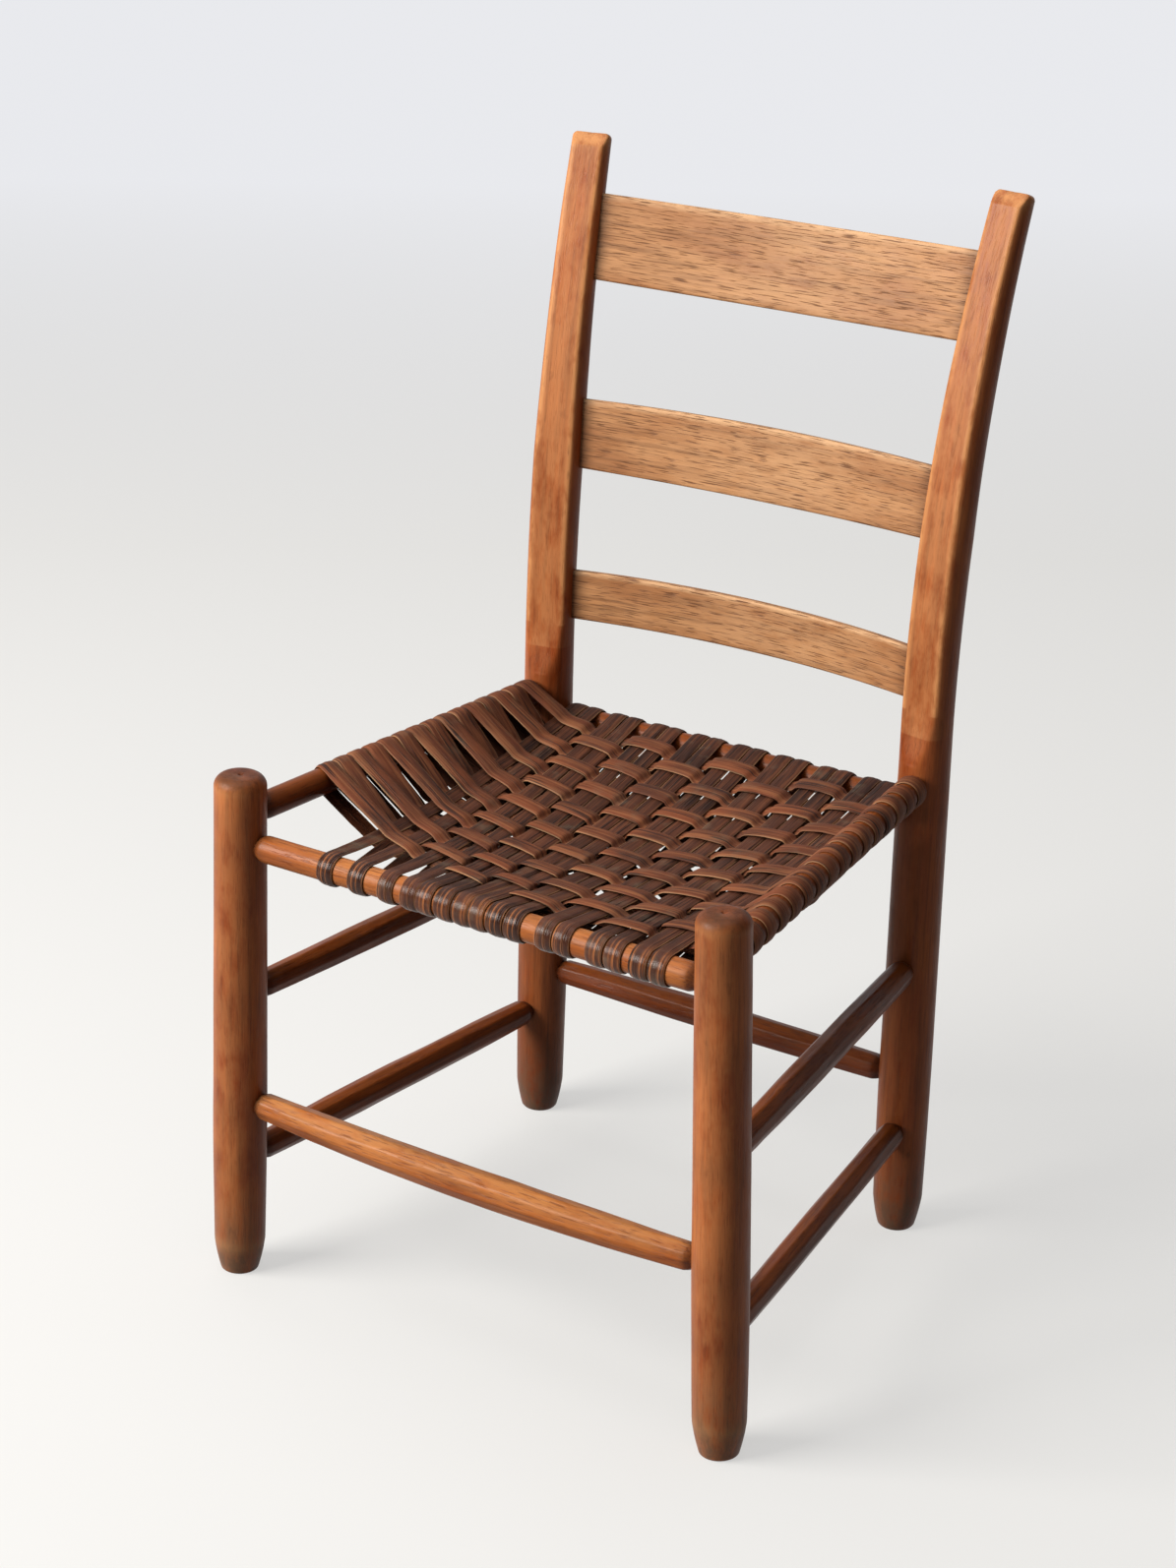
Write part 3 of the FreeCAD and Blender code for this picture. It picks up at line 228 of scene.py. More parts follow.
soft_light("window_light", (-1.8, -2.1, 1.9), (0, 0, 0.4), (1.8, 1.5), 160, "#FFFCF6")
soft_light("ceiling_light", (-0.5, -0.1, 3.3), (0, 0, 0), (2.8, 2.8), 46, "#FFFFFF")
world = bpy.data.worlds.new("studio")
world.use_nodes = True
world.node_tree.nodes.clear()
glow = add(world.node_tree, "ShaderNodeBackground", {"Color": linear("#F4F6FA"),
                                                     "Strength": 0.13})
add(world.node_tree, "ShaderNodeOutputWorld", {"Surface": glow.outputs["Background"]})
bpy.context.scene.world = world
bpy.context.scene.view_settings.view_transform = "Standard"

# %% [markdown]
# ## Where the posts stand
#
# All sizes are the CAD model's, in millimetres. The front posts lean out a little towards the
# floor. The rear posts are straight up to just above the seat and then follow one long arc
# backwards and outwards.

# %% Sizes of the frame
FRONT_Y, SEAT_DEPTH = -215.0, 367.4
FRONT_FLOOR_SPREAD, FRONT_TOP_SPREAD = 454.5, 426.8
FRONT_FOOT_LEAD, FRONT_HEIGHT = 2.5, 434.2
REAR_Y = FRONT_Y + SEAT_DEPTH
REAR_FLOOR_SPREAD, REAR_BEND_SPREAD = 361.1, 356.9
REAR_FOOT_LEAD, BEND_START = 5.1, 440.0
BEND_RADIUS, BEND_ANGLE, BEND_TURN = 1340.0, 18.1, 11.0
RUNG_HEIGHTS = {
    "front_seat_rung": 378.3, "rear_seat_rung": 377.0,
    "left_seat_rung": 400.1, "right_seat_rung": 400.1,
    "front_lower_rung": 154.9, "rear_lower_rung": 137.9,
    "left_upper_rung": 246.5, "right_upper_rung": 241.2,
    "left_lower_rung": 100.6, "right_lower_rung": 95.4}
UP = Vector((0, 0, 1))
SIDES = {"left": -1, "right": 1}


def lerp(start, end, share):
    return start + (end - start) * share


def front_axis(side, height):
    """Middle of a front post at a height."""
    share = height / FRONT_HEIGHT
    spread = lerp(FRONT_FLOOR_SPREAD, FRONT_TOP_SPREAD, share)
    return Vector((side * spread / 2, FRONT_Y - FRONT_FOOT_LEAD * (1 - share), height))


def rear_foot(side):
    return Vector((side * REAR_FLOOR_SPREAD / 2, REAR_Y - REAR_FOOT_LEAD, 0))


def rear_bend(side):
    return Vector((side * REAR_BEND_SPREAD / 2, REAR_Y, BEND_START))


LEG_LENGTH = (rear_bend(1) - rear_foot(1)).length
BEND_LENGTH = BEND_RADIUS * math.radians(BEND_ANGLE)


def rear_station(side, run):
    """Middle of a rear post a run along it, and the ways across it, back and up along it."""
    rise = (rear_bend(side) - rear_foot(side)).normalized()
    turn = math.radians(BEND_TURN)
    across = Vector((side * math.sin(turn), math.cos(turn), 0)).cross(rise).normalized()
    back = rise.cross(across)
    angle = max(run - LEG_LENGTH, 0.0) / BEND_RADIUS
    middle = rear_foot(side) + rise * min(run, LEG_LENGTH)
    middle += back * BEND_RADIUS * (1 - math.cos(angle)) + rise * BEND_RADIUS * math.sin(angle)
    back_here = back * math.cos(angle) - rise * math.sin(angle)
    rise_here = back * math.sin(angle) + rise * math.cos(angle)
    return middle, across, back_here, rise_here


def run_at_height(side, height):
    """How far along a rear post a height lies, found by halving."""
    low, high = 0.0, LEG_LENGTH + BEND_LENGTH
    for _ in range(40):
        middle = (low + high) / 2
        if rear_station(side, middle)[0].z < height:
            low = middle
        else:
            high = middle
    return low


def rear_axis(side, height):
    """Middle of a rear post at a height."""
    return rear_station(side, run_at_height(side, height))[0]


print("rear post: %.0f mm straight, then %.0f mm bent" % (LEG_LENGTH, BEND_LENGTH))

# %% [markdown]
# ## Old varnished wood
#
# The posts and rungs are a close-grained hardwood under a thin old varnish that has gone reddish
# brown. The eye sees long fine streaks, short dark pores, slow changes from honey to red brown,
# a satin gloss, pale worn edges, and brown dirt near the floor.
#
# Wood is a solid, so its pattern is read in three directions. Every wooden piece carries an
# attribute called grain: its own millimetres across, across and along, turned into metres and
# moved by a different amount for each piece. That keeps the streaks in line with each piece
# whichever way it points, and it has no seam. Two more attributes say where the wood is paler
# and where it is darker. One holds where hands and boots have rubbed, together with painted
# sheen and painted light on faces turned to the lamp. The other holds dark end grain, darkening
# near the joints and painted shadow of the seat on the back legs.

# %% Material helpers


def attribute(tree, name, output="Fac"):
    return add(tree, "ShaderNodeAttribute", attribute_name=name).outputs[output]


def stretched(tree, source, across, along):
    """The grain place, scaled for a pattern this fine across and this long, in metres."""
    scale = (1 / across, 1 / across, 1 / along)
    return add(tree, "ShaderNodeMapping", {"Vector": source, "Scale": scale}).outputs["Vector"]


def speckle(tree, vector, detail=3.0, rough=0.55):
    made = add(tree, "ShaderNodeTexNoise", {"Vector": vector, "Scale": 1.0, "Detail": detail,
                                            "Roughness": rough})
    return made.outputs["Fac"]


def between(tree, value, low, high, to_low=0.0, to_high=1.0):
    made = add(tree, "ShaderNodeMapRange", {"Value": value, "From Min": low, "From Max": high,
                                            "To Min": to_low, "To Max": to_high})
    return made.outputs["Result"]


def times(tree, first, second):
    made = add(tree, "ShaderNodeMath", {0: first, 1: second}, operation="MULTIPLY")
    return made.outputs[0]


def blend(tree, share, first, second):
    """A mix of two colours; each is a hex code or a socket."""
    pair = [linear(c) if isinstance(c, str) else c for c in (first, second)]
    made = add(tree, "ShaderNodeMix", {0: share, 6: pair[0], 7: pair[1]}, data_type="RGBA")
    return made.outputs[2]


def surface(tree, colour, roughness, relief, strength, depth, level):
    """The shader of a coloured surface whose relief is this deep, and the output."""
    bump = add(tree, "ShaderNodeBump", {"Height": relief, "Strength": strength,
                                        "Distance": depth}).outputs["Normal"]
    shader = add(tree, "ShaderNodeBsdfPrincipled", {
        "Base Color": colour, "Roughness": roughness, "Normal": bump,
        "Specular IOR Level": level})
    add(tree, "ShaderNodeOutputMaterial", {"Surface": shader.outputs["BSDF"]})


# %% Wood material


def old_wood(name, ground, red, streak, pale_worn_and_lit, pores, pore_length, gloss):
    """Varnished hardwood. pores is how strongly the open grain shows, from 0 to 1."""
    material, tree = new_material(name)
    grain = attribute(tree, "grain", "Vector")
    wear_and_light, soil_and_shade = attribute(tree, "wear_and_light"), attribute(tree, "soil_and_shade")
    place = add(tree, "ShaderNodeTexCoord").outputs["Object"]
    height = add(tree, "ShaderNodeSeparateXYZ", {"Vector": place}).outputs["Z"]

    patina = speckle(tree, stretched(tree, grain, 0.030, 0.110), 2.0)
    streaks = speckle(tree, stretched(tree, grain, 0.0035, 0.090), 3.0)
    fibres = speckle(tree, stretched(tree, grain, 0.0009, 0.030), 2.0)
    open_grain = speckle(tree, stretched(tree, grain, 0.0010, pore_length), 1.0)
    blotch = speckle(tree, stretched(tree, grain, 0.012, 0.030), 3.0, 0.65)

    colour = blend(tree, between(tree, patina, 0.38, 0.62), ground, red)
    colour = blend(tree, between(tree, streaks, 0.48, 0.72, 0.0, 0.65), colour, streak)
    colour = blend(tree, between(tree, fibres, 0.35, 0.75, 0.0, 0.35), colour, streak)
    # The pale colour here stands for real wear and also for painted sheen and painted light on faces
    # turned to the lamp.
    rubbed_and_lit = times(tree, wear_and_light, between(tree, blotch, 0.30, 0.55, 0.25, 1.0))
    colour = blend(tree, rubbed_and_lit, colour, pale_worn_and_lit)
    dashes = between(tree, open_grain, 0.57, 0.66, 0.0, pores)
    colour = blend(tree, dashes, colour, streak)
    stains = between(tree, blotch, 0.66, 0.80, 0.0, 0.45)
    colour = blend(tree, stains, colour, "#3A2016")
    # The dark colour here stands for dirt and dark end grain, for darkening near the joints, and for
    # painted shadow of the seat on the back legs.
    grimy_and_shaded = times(tree, soil_and_shade, between(tree, blotch, 0.25, 0.60, 0.55, 1.0))
    colour = blend(tree, grimy_and_shaded, colour, "#2E1810")
    dirt = times(tree, between(tree, height, 0.085, 0.008, 0.0, 0.75),
                 between(tree, blotch, 0.30, 0.60))
    colour = blend(tree, dirt, colour, "#5B4A3B")

    roughness = between(tree, blotch, 0.30, 0.75, gloss, gloss + 0.18)
    relief = add(tree, "ShaderNodeMath", {0: between(tree, open_grain, 0.57, 0.68, 1.0, 0.0),
                                          1: between(tree, streaks, 0.3, 0.7, 0.0, 0.5)},
                 operation="ADD").outputs[0]
    surface(tree, colour, roughness, relief, 0.25 + 0.5 * pores, 0.0003, 0.16)
    return material


# %% Wood finishes
TURNED_WOOD = old_wood("turned_post_varnish", "#AC5A2B", "#86370F", "#521C06", "#C48654",
                       0.15, 0.014, 0.34)
SHAVED_WOOD = old_wood("shaved_rung_varnish", "#7E3813", "#5C2208", "#381103", "#A46028",
                       0.35, 0.014, 0.30)
GOLDEN_WOOD = old_wood("front_rung_varnish", "#B06630", "#94481A", "#5A240A", "#C88C54",
                       0.50, 0.016, 0.30)
SLAT_WOOD = old_wood("slat_open_grain", "#BC8659", "#A0683F", "#5E3820", "#CDA076",
                     0.80, 0.020, 0.40)
print("wood finishes:", TURNED_WOOD.name, SHAVED_WOOD.name, GOLDEN_WOOD.name, SLAT_WOOD.name)

# %% [markdown]
# ## Skins for the wooden pieces
#
# A turned or shaved piece is a stack of closed outlines, so each is built as a skin over rings
# of points. Each point keeps its place, its place in the wood, how pale it is, for wear and for
# painted light, and how dark it is, for dirt, darkening near joints and painted shadow. Both ends
# are closed with a fan.

# %% Skin over rings


class Ring:
    """One closed outline of a piece, counter-clockwise as seen against its run."""

    def __init__(self):
        self.points = []
        self.grain = []
        self.wear_and_light = []
        self.soil_and_shade = []

    def add(self, point, grain, wear_and_light, soil_and_shade):
        self.points.append(point)
        self.grain.append(grain)
        self.wear_and_light.append(min(max(wear_and_light, 0.0), 1.0))
        self.soil_and_shade.append(min(max(soil_and_shade, 0.0), 1.0))


def skin(name, rings, material, grain_step):
    """A closed mesh over the rings, in metres, that replaces the CAD node of the same name."""
    around = len(rings[0].points)
    places, grains, wear_and_light_values, soil_and_shade_values, faces = [], [], [], [], []
    shift = Vector((grain_step * 0.37, grain_step * 0.61, grain_step * 1.13))
    for ring in rings:
        places += [point * MM for point in ring.points]
        grains += [point * MM + shift for point in ring.grain]
        wear_and_light_values += ring.wear_and_light
        soil_and_shade_values += ring.soil_and_shade
    for row in range(len(rings) - 1):
        for spot in range(around):
            following = (spot + 1) % around
            a, b = row * around + spot, row * around + following
            faces.append((a, b, b + around, a + around))
    for ring, base, flip in ((rings[0], 0, True), (rings[-1], (len(rings) - 1) * around, False)):
        centre = len(places)
        places.append(sum(ring.points, Vector()) / around * MM)
        grains.append(sum(ring.grain, Vector()) / around * MM + shift)
        wear_and_light_values.append(ring.wear_and_light[0])
        soil_and_shade_values.append(ring.soil_and_shade[0])
        for spot in range(around):
            a, b = base + spot, base + (spot + 1) % around
            faces.append((centre, b, a) if flip else (centre, a, b))
    mesh = bpy.data.meshes.new(name + "_skin")
    mesh.from_pydata([tuple(p) for p in places], [], faces)
    mesh.shade_smooth()
    grain_layer = mesh.attributes.new("grain", "FLOAT_VECTOR", "POINT")
    grain_layer.data.foreach_set("vector", [value for g in grains for value in g])
    for label, values in (("wear_and_light", wear_and_light_values), ("soil_and_shade", soil_and_shade_values)):
        mesh.attributes.new(label, "FLOAT", "POINT").data.foreach_set("value", values)
    mesh.materials.append(material)
    piece = in_scene(name + "_skin", mesh)
    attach(piece, "root")
    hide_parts(name)
    print("%s: %d faces" % (name, len(mesh.polygons)))
    return piece


def polar(out, angle, run):
    return Vector((out * math.cos(angle), out * math.sin(angle), run))


def roughened(out, angle, run, depth, size, seed):
    """A place on a hand-made surface, which is out by up to a depth that changes slowly."""
    even = polar(out, angle, run)
    spot = Vector((even.x / size, even.y / size, even.z / (3 * size) + seed))
    return polar(out + depth * noise.noise(spot), angle, run)


def bell(distance, width):
    return math.exp(-(distance / width) ** 2)


# %% [markdown]
# ## Front posts
#
# Each front post is a lathe-turned bar: narrow at the floor, widest about 150 mm up, a little
# thinner to the top, with a domed end and the small pit that the lathe centre left.

# %% Front posts
FOOT_RADIUS, ANKLE_RADIUS, BELLY_RADIUS, NECK_RADIUS = 15.6, 20.4, 21.4, 20.3
FOOT_HEIGHT, ANKLE_HEIGHT, BELLY_HEIGHT, NECK_HEIGHT = 1.5, 27.0, 150.0, 400.0
DOME_RADIUS, PIP_RADIUS, PIP_DEPTH = 9.0, 1.6, 2.5
POST_AROUND = 72
JOINT_DARKENING, JOINT_REACH = 0.14, 15.0


def leg_radius(run, top_radius, top_height):
    """Radius of a turned leg between the floor and its neck."""
    if run < ANKLE_HEIGHT:
        share = max(run - FOOT_HEIGHT, 0.0) / (ANKLE_HEIGHT - FOOT_HEIGHT)
        straight = lerp(FOOT_RADIUS, ANKLE_RADIUS, share)
        return straight + 0.5 * math.sin(math.pi * share)
    if run < BELLY_HEIGHT:
        share = (run - ANKLE_HEIGHT) / (BELLY_HEIGHT - ANKLE_HEIGHT)
        return lerp(ANKLE_RADIUS, BELLY_RADIUS, math.sin(share * math.pi / 2))
    share = min((run - BELLY_HEIGHT) / (top_height - BELLY_HEIGHT), 1.0)
    return lerp(BELLY_RADIUS, top_radius, share)


def steps_between(start, end, step):
    count = max(int(round((end - start) / step)), 1)
    return [lerp(start, end, number / count) for number in range(count + 1)]


def joint_darkening(run, end, hand):
    """Darker near where rungs enter the post at this end and hand."""
    return max(JOINT_DARKENING * bell(run - height, JOINT_REACH)
               for name, height in RUNG_HEIGHTS.items() if name.startswith((end, hand)))


def front_post(hand, side, grain_step):
    foot, top = front_axis(side, 0), front_axis(side, FRONT_HEIGHT)
    rise = (top - foot).normalized()
    across = Vector((0, 1, 0)).cross(rise).normalized()
    back = rise.cross(across)
    length = (top - foot).length
    runs = [(0.0, FOOT_RADIUS - 1.2), (0.6, FOOT_RADIUS - 0.3)]
    runs += [(run, leg_radius(run, NECK_RADIUS, NECK_HEIGHT))
             for run in steps_between(FOOT_HEIGHT, length - DOME_RADIUS - 0.5, 3.5)]
    for step in range(13):
        angle = math.radians(90 * step / 12)
        runs.append((length - DOME_RADIUS + DOME_RADIUS * math.sin(angle),
                     NECK_RADIUS - DOME_RADIUS + DOME_RADIUS * math.cos(angle)))
    runs += [(length, 7.0), (length, 3.0), (length - 0.3, PIP_RADIUS + 0.3),
             (length - PIP_DEPTH, 0.35)]
    rings = []
    for run, radius in runs:
        top_soil = 0.8 * bell(min(run - length, 0.0), DOME_RADIUS * 0.7)
        soil_and_shade = max(top_soil, joint_darkening(run, "front", hand))
        foot_wear = 0.45 * bell(run - ANKLE_HEIGHT, 6)
        rim_wear = 0.15 * bell(run - (length - DOME_RADIUS), 3)
        ring = Ring()
        for number in range(POST_AROUND):
            angle = 2 * math.pi * number / POST_AROUND
            local = roughened(radius, angle, run, 0.30 * min(radius / 15, 1), 30, grain_step)
            place = foot + across * local.x + back * local.y + rise * run
            # The front half is painted paler: partly rubbed by legs, partly painted light where the
            # lamp falls on it.
            front_rub_and_light = 0.28 * max(-local.y / radius, 0.0)
            ring.add(place, local, 0.10 + front_rub_and_light + rim_wear + foot_wear, soil_and_shade)
        rings.append(ring)
    return skin("front_%s_post" % hand, rings, TURNED_WOOD, grain_step)


for number, (hand, side) in enumerate(SIDES.items()):
    front_post(hand, side, number + 1)

# %% [markdown]
# ## Rear posts
#
# The rear posts are turned legs up to the seat. Above it each was bent backwards, and its front
# was shaved flat with a drawknife. The flat starts as a small tongue just above the seat, and
# the edges between the flat and the round back are soft and worn pale. The tip is bevelled
# towards the front and rounded over.

# %% Rear posts
REAR_LEG_RADIUS, REAR_TIP_RADIUS, WAIST_ANGLE = 20.5, 15.9, 6.9
TONGUE_DROP, SHAVED_RISE = 22.0, 34.0
SHAVED_INSET_LOW, SHAVED_INSET_TOP, SHAVED_HOLLOW = 12.8, 9.0, 1.9
TIP_BEVEL_HEIGHT, TIP_BEVEL_DEPTH, TIP_ROUNDING = 11.0, 6.0, 4.0
EDGE_SOFTNESS = 26
# Below the seat the back legs are painted darker, the left one most: partly their own darker old
# varnish, partly painted shadow of the seat.
LEG_SHADOW_AND_DARK_WOOD = {"left": 0.42, "right": 0.16}
LEG_SHADOW_TOP, LEG_SHADOW_FADE = 400.0, 60.0


def bent_radius(run):
    """Radius of the round back of a rear post, this far past the start of its bend."""
    share = (math.degrees(run / BEND_RADIUS) - WAIST_ANGLE) / (BEND_ANGLE - WAIST_ANGLE)
    return lerp(REAR_LEG_RADIUS, REAR_TIP_RADIUS, max(share, 0.0))


def flat_inset(run):
    """How far the shaved flat lies ahead of the post's middle; None where it is still round."""
    if run < -TONGUE_DROP:
        return None
    if run < SHAVED_RISE:
        share = (run + TONGUE_DROP) / (SHAVED_RISE + TONGUE_DROP)
        return lerp(REAR_LEG_RADIUS + 0.2, SHAVED_INSET_LOW, 1 - (1 - share) ** 2)
    share = (run - SHAVED_RISE) / (BEND_LENGTH - SHAVED_RISE)
    inset = lerp(SHAVED_INSET_LOW, SHAVED_INSET_TOP, share)
    inset += SHAVED_HOLLOW * 4 * share * (1 - share)
    into_bevel = run - (BEND_LENGTH - TIP_BEVEL_HEIGHT)
    if into_bevel > 0:
        inset -= TIP_BEVEL_DEPTH * into_bevel / TIP_BEVEL_HEIGHT
    return inset


def rear_outline(angle, radius, inset):
    """Distance out at an angle from the side, with the flat at the front rounded in."""
    facing = -math.sin(angle)
    if inset is None or facing <= 0:
        return radius, 0.0
    flat = facing / inset
    out = ((1 / radius) ** EDGE_SOFTNESS + flat ** EDGE_SOFTNESS) ** (-1 / EDGE_SOFTNESS)
    edge = math.acos(min(inset / radius, 1.0))
    off_edge = (math.acos(min(facing, 1.0)) - edge) * radius
    return out, bell(off_edge, 2.2)


def rear_post(hand, side, grain_step):
    runs = [0.0, 0.6] + steps_between(FOOT_HEIGHT, LEG_LENGTH - 24, 3.5)
    runs += steps_between(LEG_LENGTH - 23, LEG_LENGTH + 36, 1.2)
    runs += steps_between(LEG_LENGTH + 38, LEG_LENGTH + BEND_LENGTH - 16, 3.0)
    runs += steps_between(LEG_LENGTH + BEND_LENGTH - 15, LEG_LENGTH + BEND_LENGTH - 4.2, 0.9)
    runs += [LEG_LENGTH + BEND_LENGTH - TIP_ROUNDING * (1 - math.sin(math.radians(a)))
             for a in range(0, 91, 9)]
    rings = []
    for run in runs:
        middle, across, back, _ = rear_station(side, run)
        past = run - LEG_LENGTH
        radius = (leg_radius(run, REAR_LEG_RADIUS, LEG_LENGTH) if past < 0
                  else bent_radius(past))
        if run < FOOT_HEIGHT:
            radius -= 1.2 * (1 - run / FOOT_HEIGHT)
        left = LEG_LENGTH + BEND_LENGTH - run
        shrink = 0.0
        if left < TIP_ROUNDING:
            shrink = TIP_ROUNDING - math.sqrt(TIP_ROUNDING ** 2 - (TIP_ROUNDING - left) ** 2)
        inset = flat_inset(past)
        tip_wear = 0.8 * bell(left - 2, 9)
        # Painted shadow of the seat, with darker old varnish, on the leg below it.
        below_seat = min(max((LEG_SHADOW_TOP - run) / LEG_SHADOW_FADE, 0), 1)
        soil_and_shade = max(joint_darkening(run, "rear", hand), LEG_SHADOW_AND_DARK_WOOD[hand] * below_seat)
        ring = Ring()
        for number in range(POST_AROUND):
            angle = 2 * math.pi * number / POST_AROUND
            out, edge_wear = rear_outline(angle, radius, inset)
            local = roughened(out - shrink * 0.9, angle, run, 0.28, 28, grain_step)
            # The front, most of all the shaved flat, is painted paler: partly rubbed by hands, partly
            # painted light and sheen where the flat faces the lamp.
            hand_rub_and_light = max(-math.sin(angle), 0) * (0.45 if past > 0 else 0.13)
            spot = middle + across * local.x + back * local.y
            ring.add(spot, local, 0.06 + 0.7 * edge_wear * (past > 20) + tip_wear + hand_rub_and_light,
                     soil_and_shade)
        rings.append(ring)
    return skin("rear_%s_post" % hand, rings, TURNED_WOOD, grain_step)


for number, (hand, side) in enumerate(SIDES.items()):
    rear_post(hand, side, number + 3)

# %% [markdown]
# ## Rungs
#
# The seat rungs are round sticks that the bark mostly hides. The lower rungs were shaved with a knife:
# each has long flat facets that wander, it is thicker in the middle, and it is pared down where
# it enters a post. The front one also sags in the middle, and boots have rubbed its top. The tops
# of all rungs are also painted paler as a highlight, the front lower rung's most.

# %% Rungs
TENON_LENGTH, SHOULDER, TENON_RADIUS = 24.0, 2.4, 8.0
RUNG_END_RADIUS, SEAT_RUNG_RADIUS = 10.6, 10.75
RUNG_AROUND, FACET_DEPTH = 60, 0.07


def post_radius(axis, height):
    if axis is front_axis:
        return leg_radius(height, NECK_RADIUS, NECK_HEIGHT)
    return leg_radius(height, REAR_LEG_RADIUS, LEG_LENGTH)


def facet_radius(angle, run, facets, seed, depth):
    """Knife facets: the outline is a many-sided one whose sides wander along the rung."""
    least = 1.03
    for number in range(facets):
        wander = 0.22 * noise.noise(Vector((number * 3.1, run / 90, seed)))
        facing = 2 * math.pi * number / facets + wander
        away = math.cos(angle - facing)
        if away > 0.5:
            level = 1 - depth * (0.5 + 0.5 * noise.noise(Vector((number * 7.7, run / 70, seed))))
            least = min(least, level / away)
    return least


def rung(name, first, second, radii, middle_radius, sag, material, facets, grain_step):
    """A rung from one post middle to the other; radii are those of the two posts."""
    way = (second - first).normalized()
    side_way = UP.cross(way).normalized()
    high_way = way.cross(side_way)
    start = radii[0] - TENON_LENGTH
    length = (second - first).length - radii[1] + TENON_LENGTH - start
    end_radius = SEAT_RUNG_RADIUS if middle_radius == SEAT_RUNG_RADIUS else RUNG_END_RADIUS
    runs = [0, TENON_LENGTH - 2, TENON_LENGTH - 0.5]
    runs += steps_between(TENON_LENGTH + 0.3, TENON_LENGTH + 6, 0.9)
    runs += steps_between(TENON_LENGTH + 9, length - TENON_LENGTH - 9, 3.5)
    runs += steps_between(length - TENON_LENGTH - 6, length - TENON_LENGTH - 0.3, 0.9)
    runs += [length - TENON_LENGTH + 0.5, length - TENON_LENGTH + 2, length]
    rings = []
    for run in runs:
        from_end = min(run, length - run)
        share = (run - TENON_LENGTH) / (length - 2 * TENON_LENGTH)
        swell = 4 * share * (1 - share) if 0 < share < 1 else 0.0
        radius = lerp(end_radius, middle_radius, swell)
        if from_end <= TENON_LENGTH:
            radius = TENON_RADIUS + 0.1
        elif from_end < TENON_LENGTH + SHOULDER + 4:
            eased = math.sin(math.pi / 2 * (from_end - TENON_LENGTH) / (SHOULDER + 4))
            radius = lerp(TENON_RADIUS + 0.4, radius, eased)
        middle = first + way * (start + run) - high_way * sag * swell
        ring = Ring()
        for number in range(RUNG_AROUND):
            angle = 2 * math.pi * number / RUNG_AROUND
            out = radius
            if facets:
                out *= facet_radius(angle, run, facets, grain_step, FACET_DEPTH)
            local = roughened(out, angle, run, 0.18, 22, grain_step)
            # The top is painted paler: rubbed by boots on the front rung, and a painted highlight
            # where light falls from above on every rung.
            top_rub_and_highlight = max(math.sin(angle), 0.0) * (0.45 if sag else 0.18)
            spot = middle + side_way * local.x + high_way * local.y
            # Darker near each end, where the rung enters a post.
            ring.add(spot, local, 0.08 + top_rub_and_highlight, 0.75 * bell(from_end - TENON_LENGTH, 7))
        rings.append(ring)
    return skin(name, rings, material, grain_step)


# Name, posts, radius in the middle, sag, wood and number of facets of the rungs that run across.
CROSS_RUNGS = (("front_seat_rung", front_axis, SEAT_RUNG_RADIUS, 0.0, GOLDEN_WOOD, 0),
               ("rear_seat_rung", rear_axis, SEAT_RUNG_RADIUS, 0.0, SHAVED_WOOD, 0),
               ("front_lower_rung", front_axis, 13.4, 5.0, GOLDEN_WOOD, 9),
               ("rear_lower_rung", rear_axis, 12.4, 0.0, SHAVED_WOOD, 9))
# Name, radius in the middle and number of facets of the rungs at the sides.
SIDE_RUNGS = (("left_seat_rung", SEAT_RUNG_RADIUS, 0), ("right_seat_rung", SEAT_RUNG_RADIUS, 0),
              ("left_upper_rung", 11.7, 9), ("left_lower_rung", 12.6, 10),
              ("right_upper_rung", 12.0, 9), ("right_lower_rung", 11.2, 9))

for number, (name, axis, radius, sag, wood, facets) in enumerate(CROSS_RUNGS):
    level = RUNG_HEIGHTS[name]
    held = post_radius(axis, level)
    rung(name, axis(-1, level), axis(1, level), (held, held), radius, sag, wood, facets,
         number + 5)
for number, (name, radius, facets) in enumerate(SIDE_RUNGS):
    level, side = RUNG_HEIGHTS[name], SIDES[name.split("_")[0]]
    held = (post_radius(front_axis, level), post_radius(rear_axis, level))
    rung(name, front_axis(side, level), rear_axis(side, level), held, radius, 0.0,
         SHAVED_WOOD, facets, number + 9)

# %% [markdown]
# ## Slats
#
# The three slats are thin boards, bent so that they curve backwards behind the sitter, with a
# slightly arched upper edge. They are paler than the posts, with long dark pores. Their ends go
# into slots in the rear posts.

# %% Slats
SLAT_THICKNESS, SLAT_SETBACK, SLAT_TENON, SLAT_ROUNDING = 7.5, 4.5, 18.0, 2.0


def board_outline(half_face_low, half_face_high, thickness):
    """Rounded upright rectangle, from back to front and from low to high."""
    soft = SLAT_ROUNDING
    corners = ((thickness - soft, half_face_high - soft, 0), (soft, half_face_high - soft, 90),
               (soft, -half_face_low + soft, 180), (thickness - soft, -half_face_low + soft, 270))
    made = []
    for number, (deep, high, start) in enumerate(corners):
        for step in range(6):
            angle = math.radians(start + 90 * step / 5)
            made.append((deep + soft * math.cos(angle), high + soft * math.sin(angle), 1.0))
        nxt = corners[(number + 1) % 4]
        end = made[-1]
        turn = math.radians(nxt[2])
        goal = (nxt[0] + soft * math.cos(turn), nxt[1] + soft * math.sin(turn))
        count = 14 if abs(goal[1] - end[1]) > abs(goal[0] - end[0]) else 2
        for step in range(1, count):
            share = step / count
            made.append((lerp(end[0], goal[0], share), lerp(end[1], goal[1], share), 0.0))
    return made


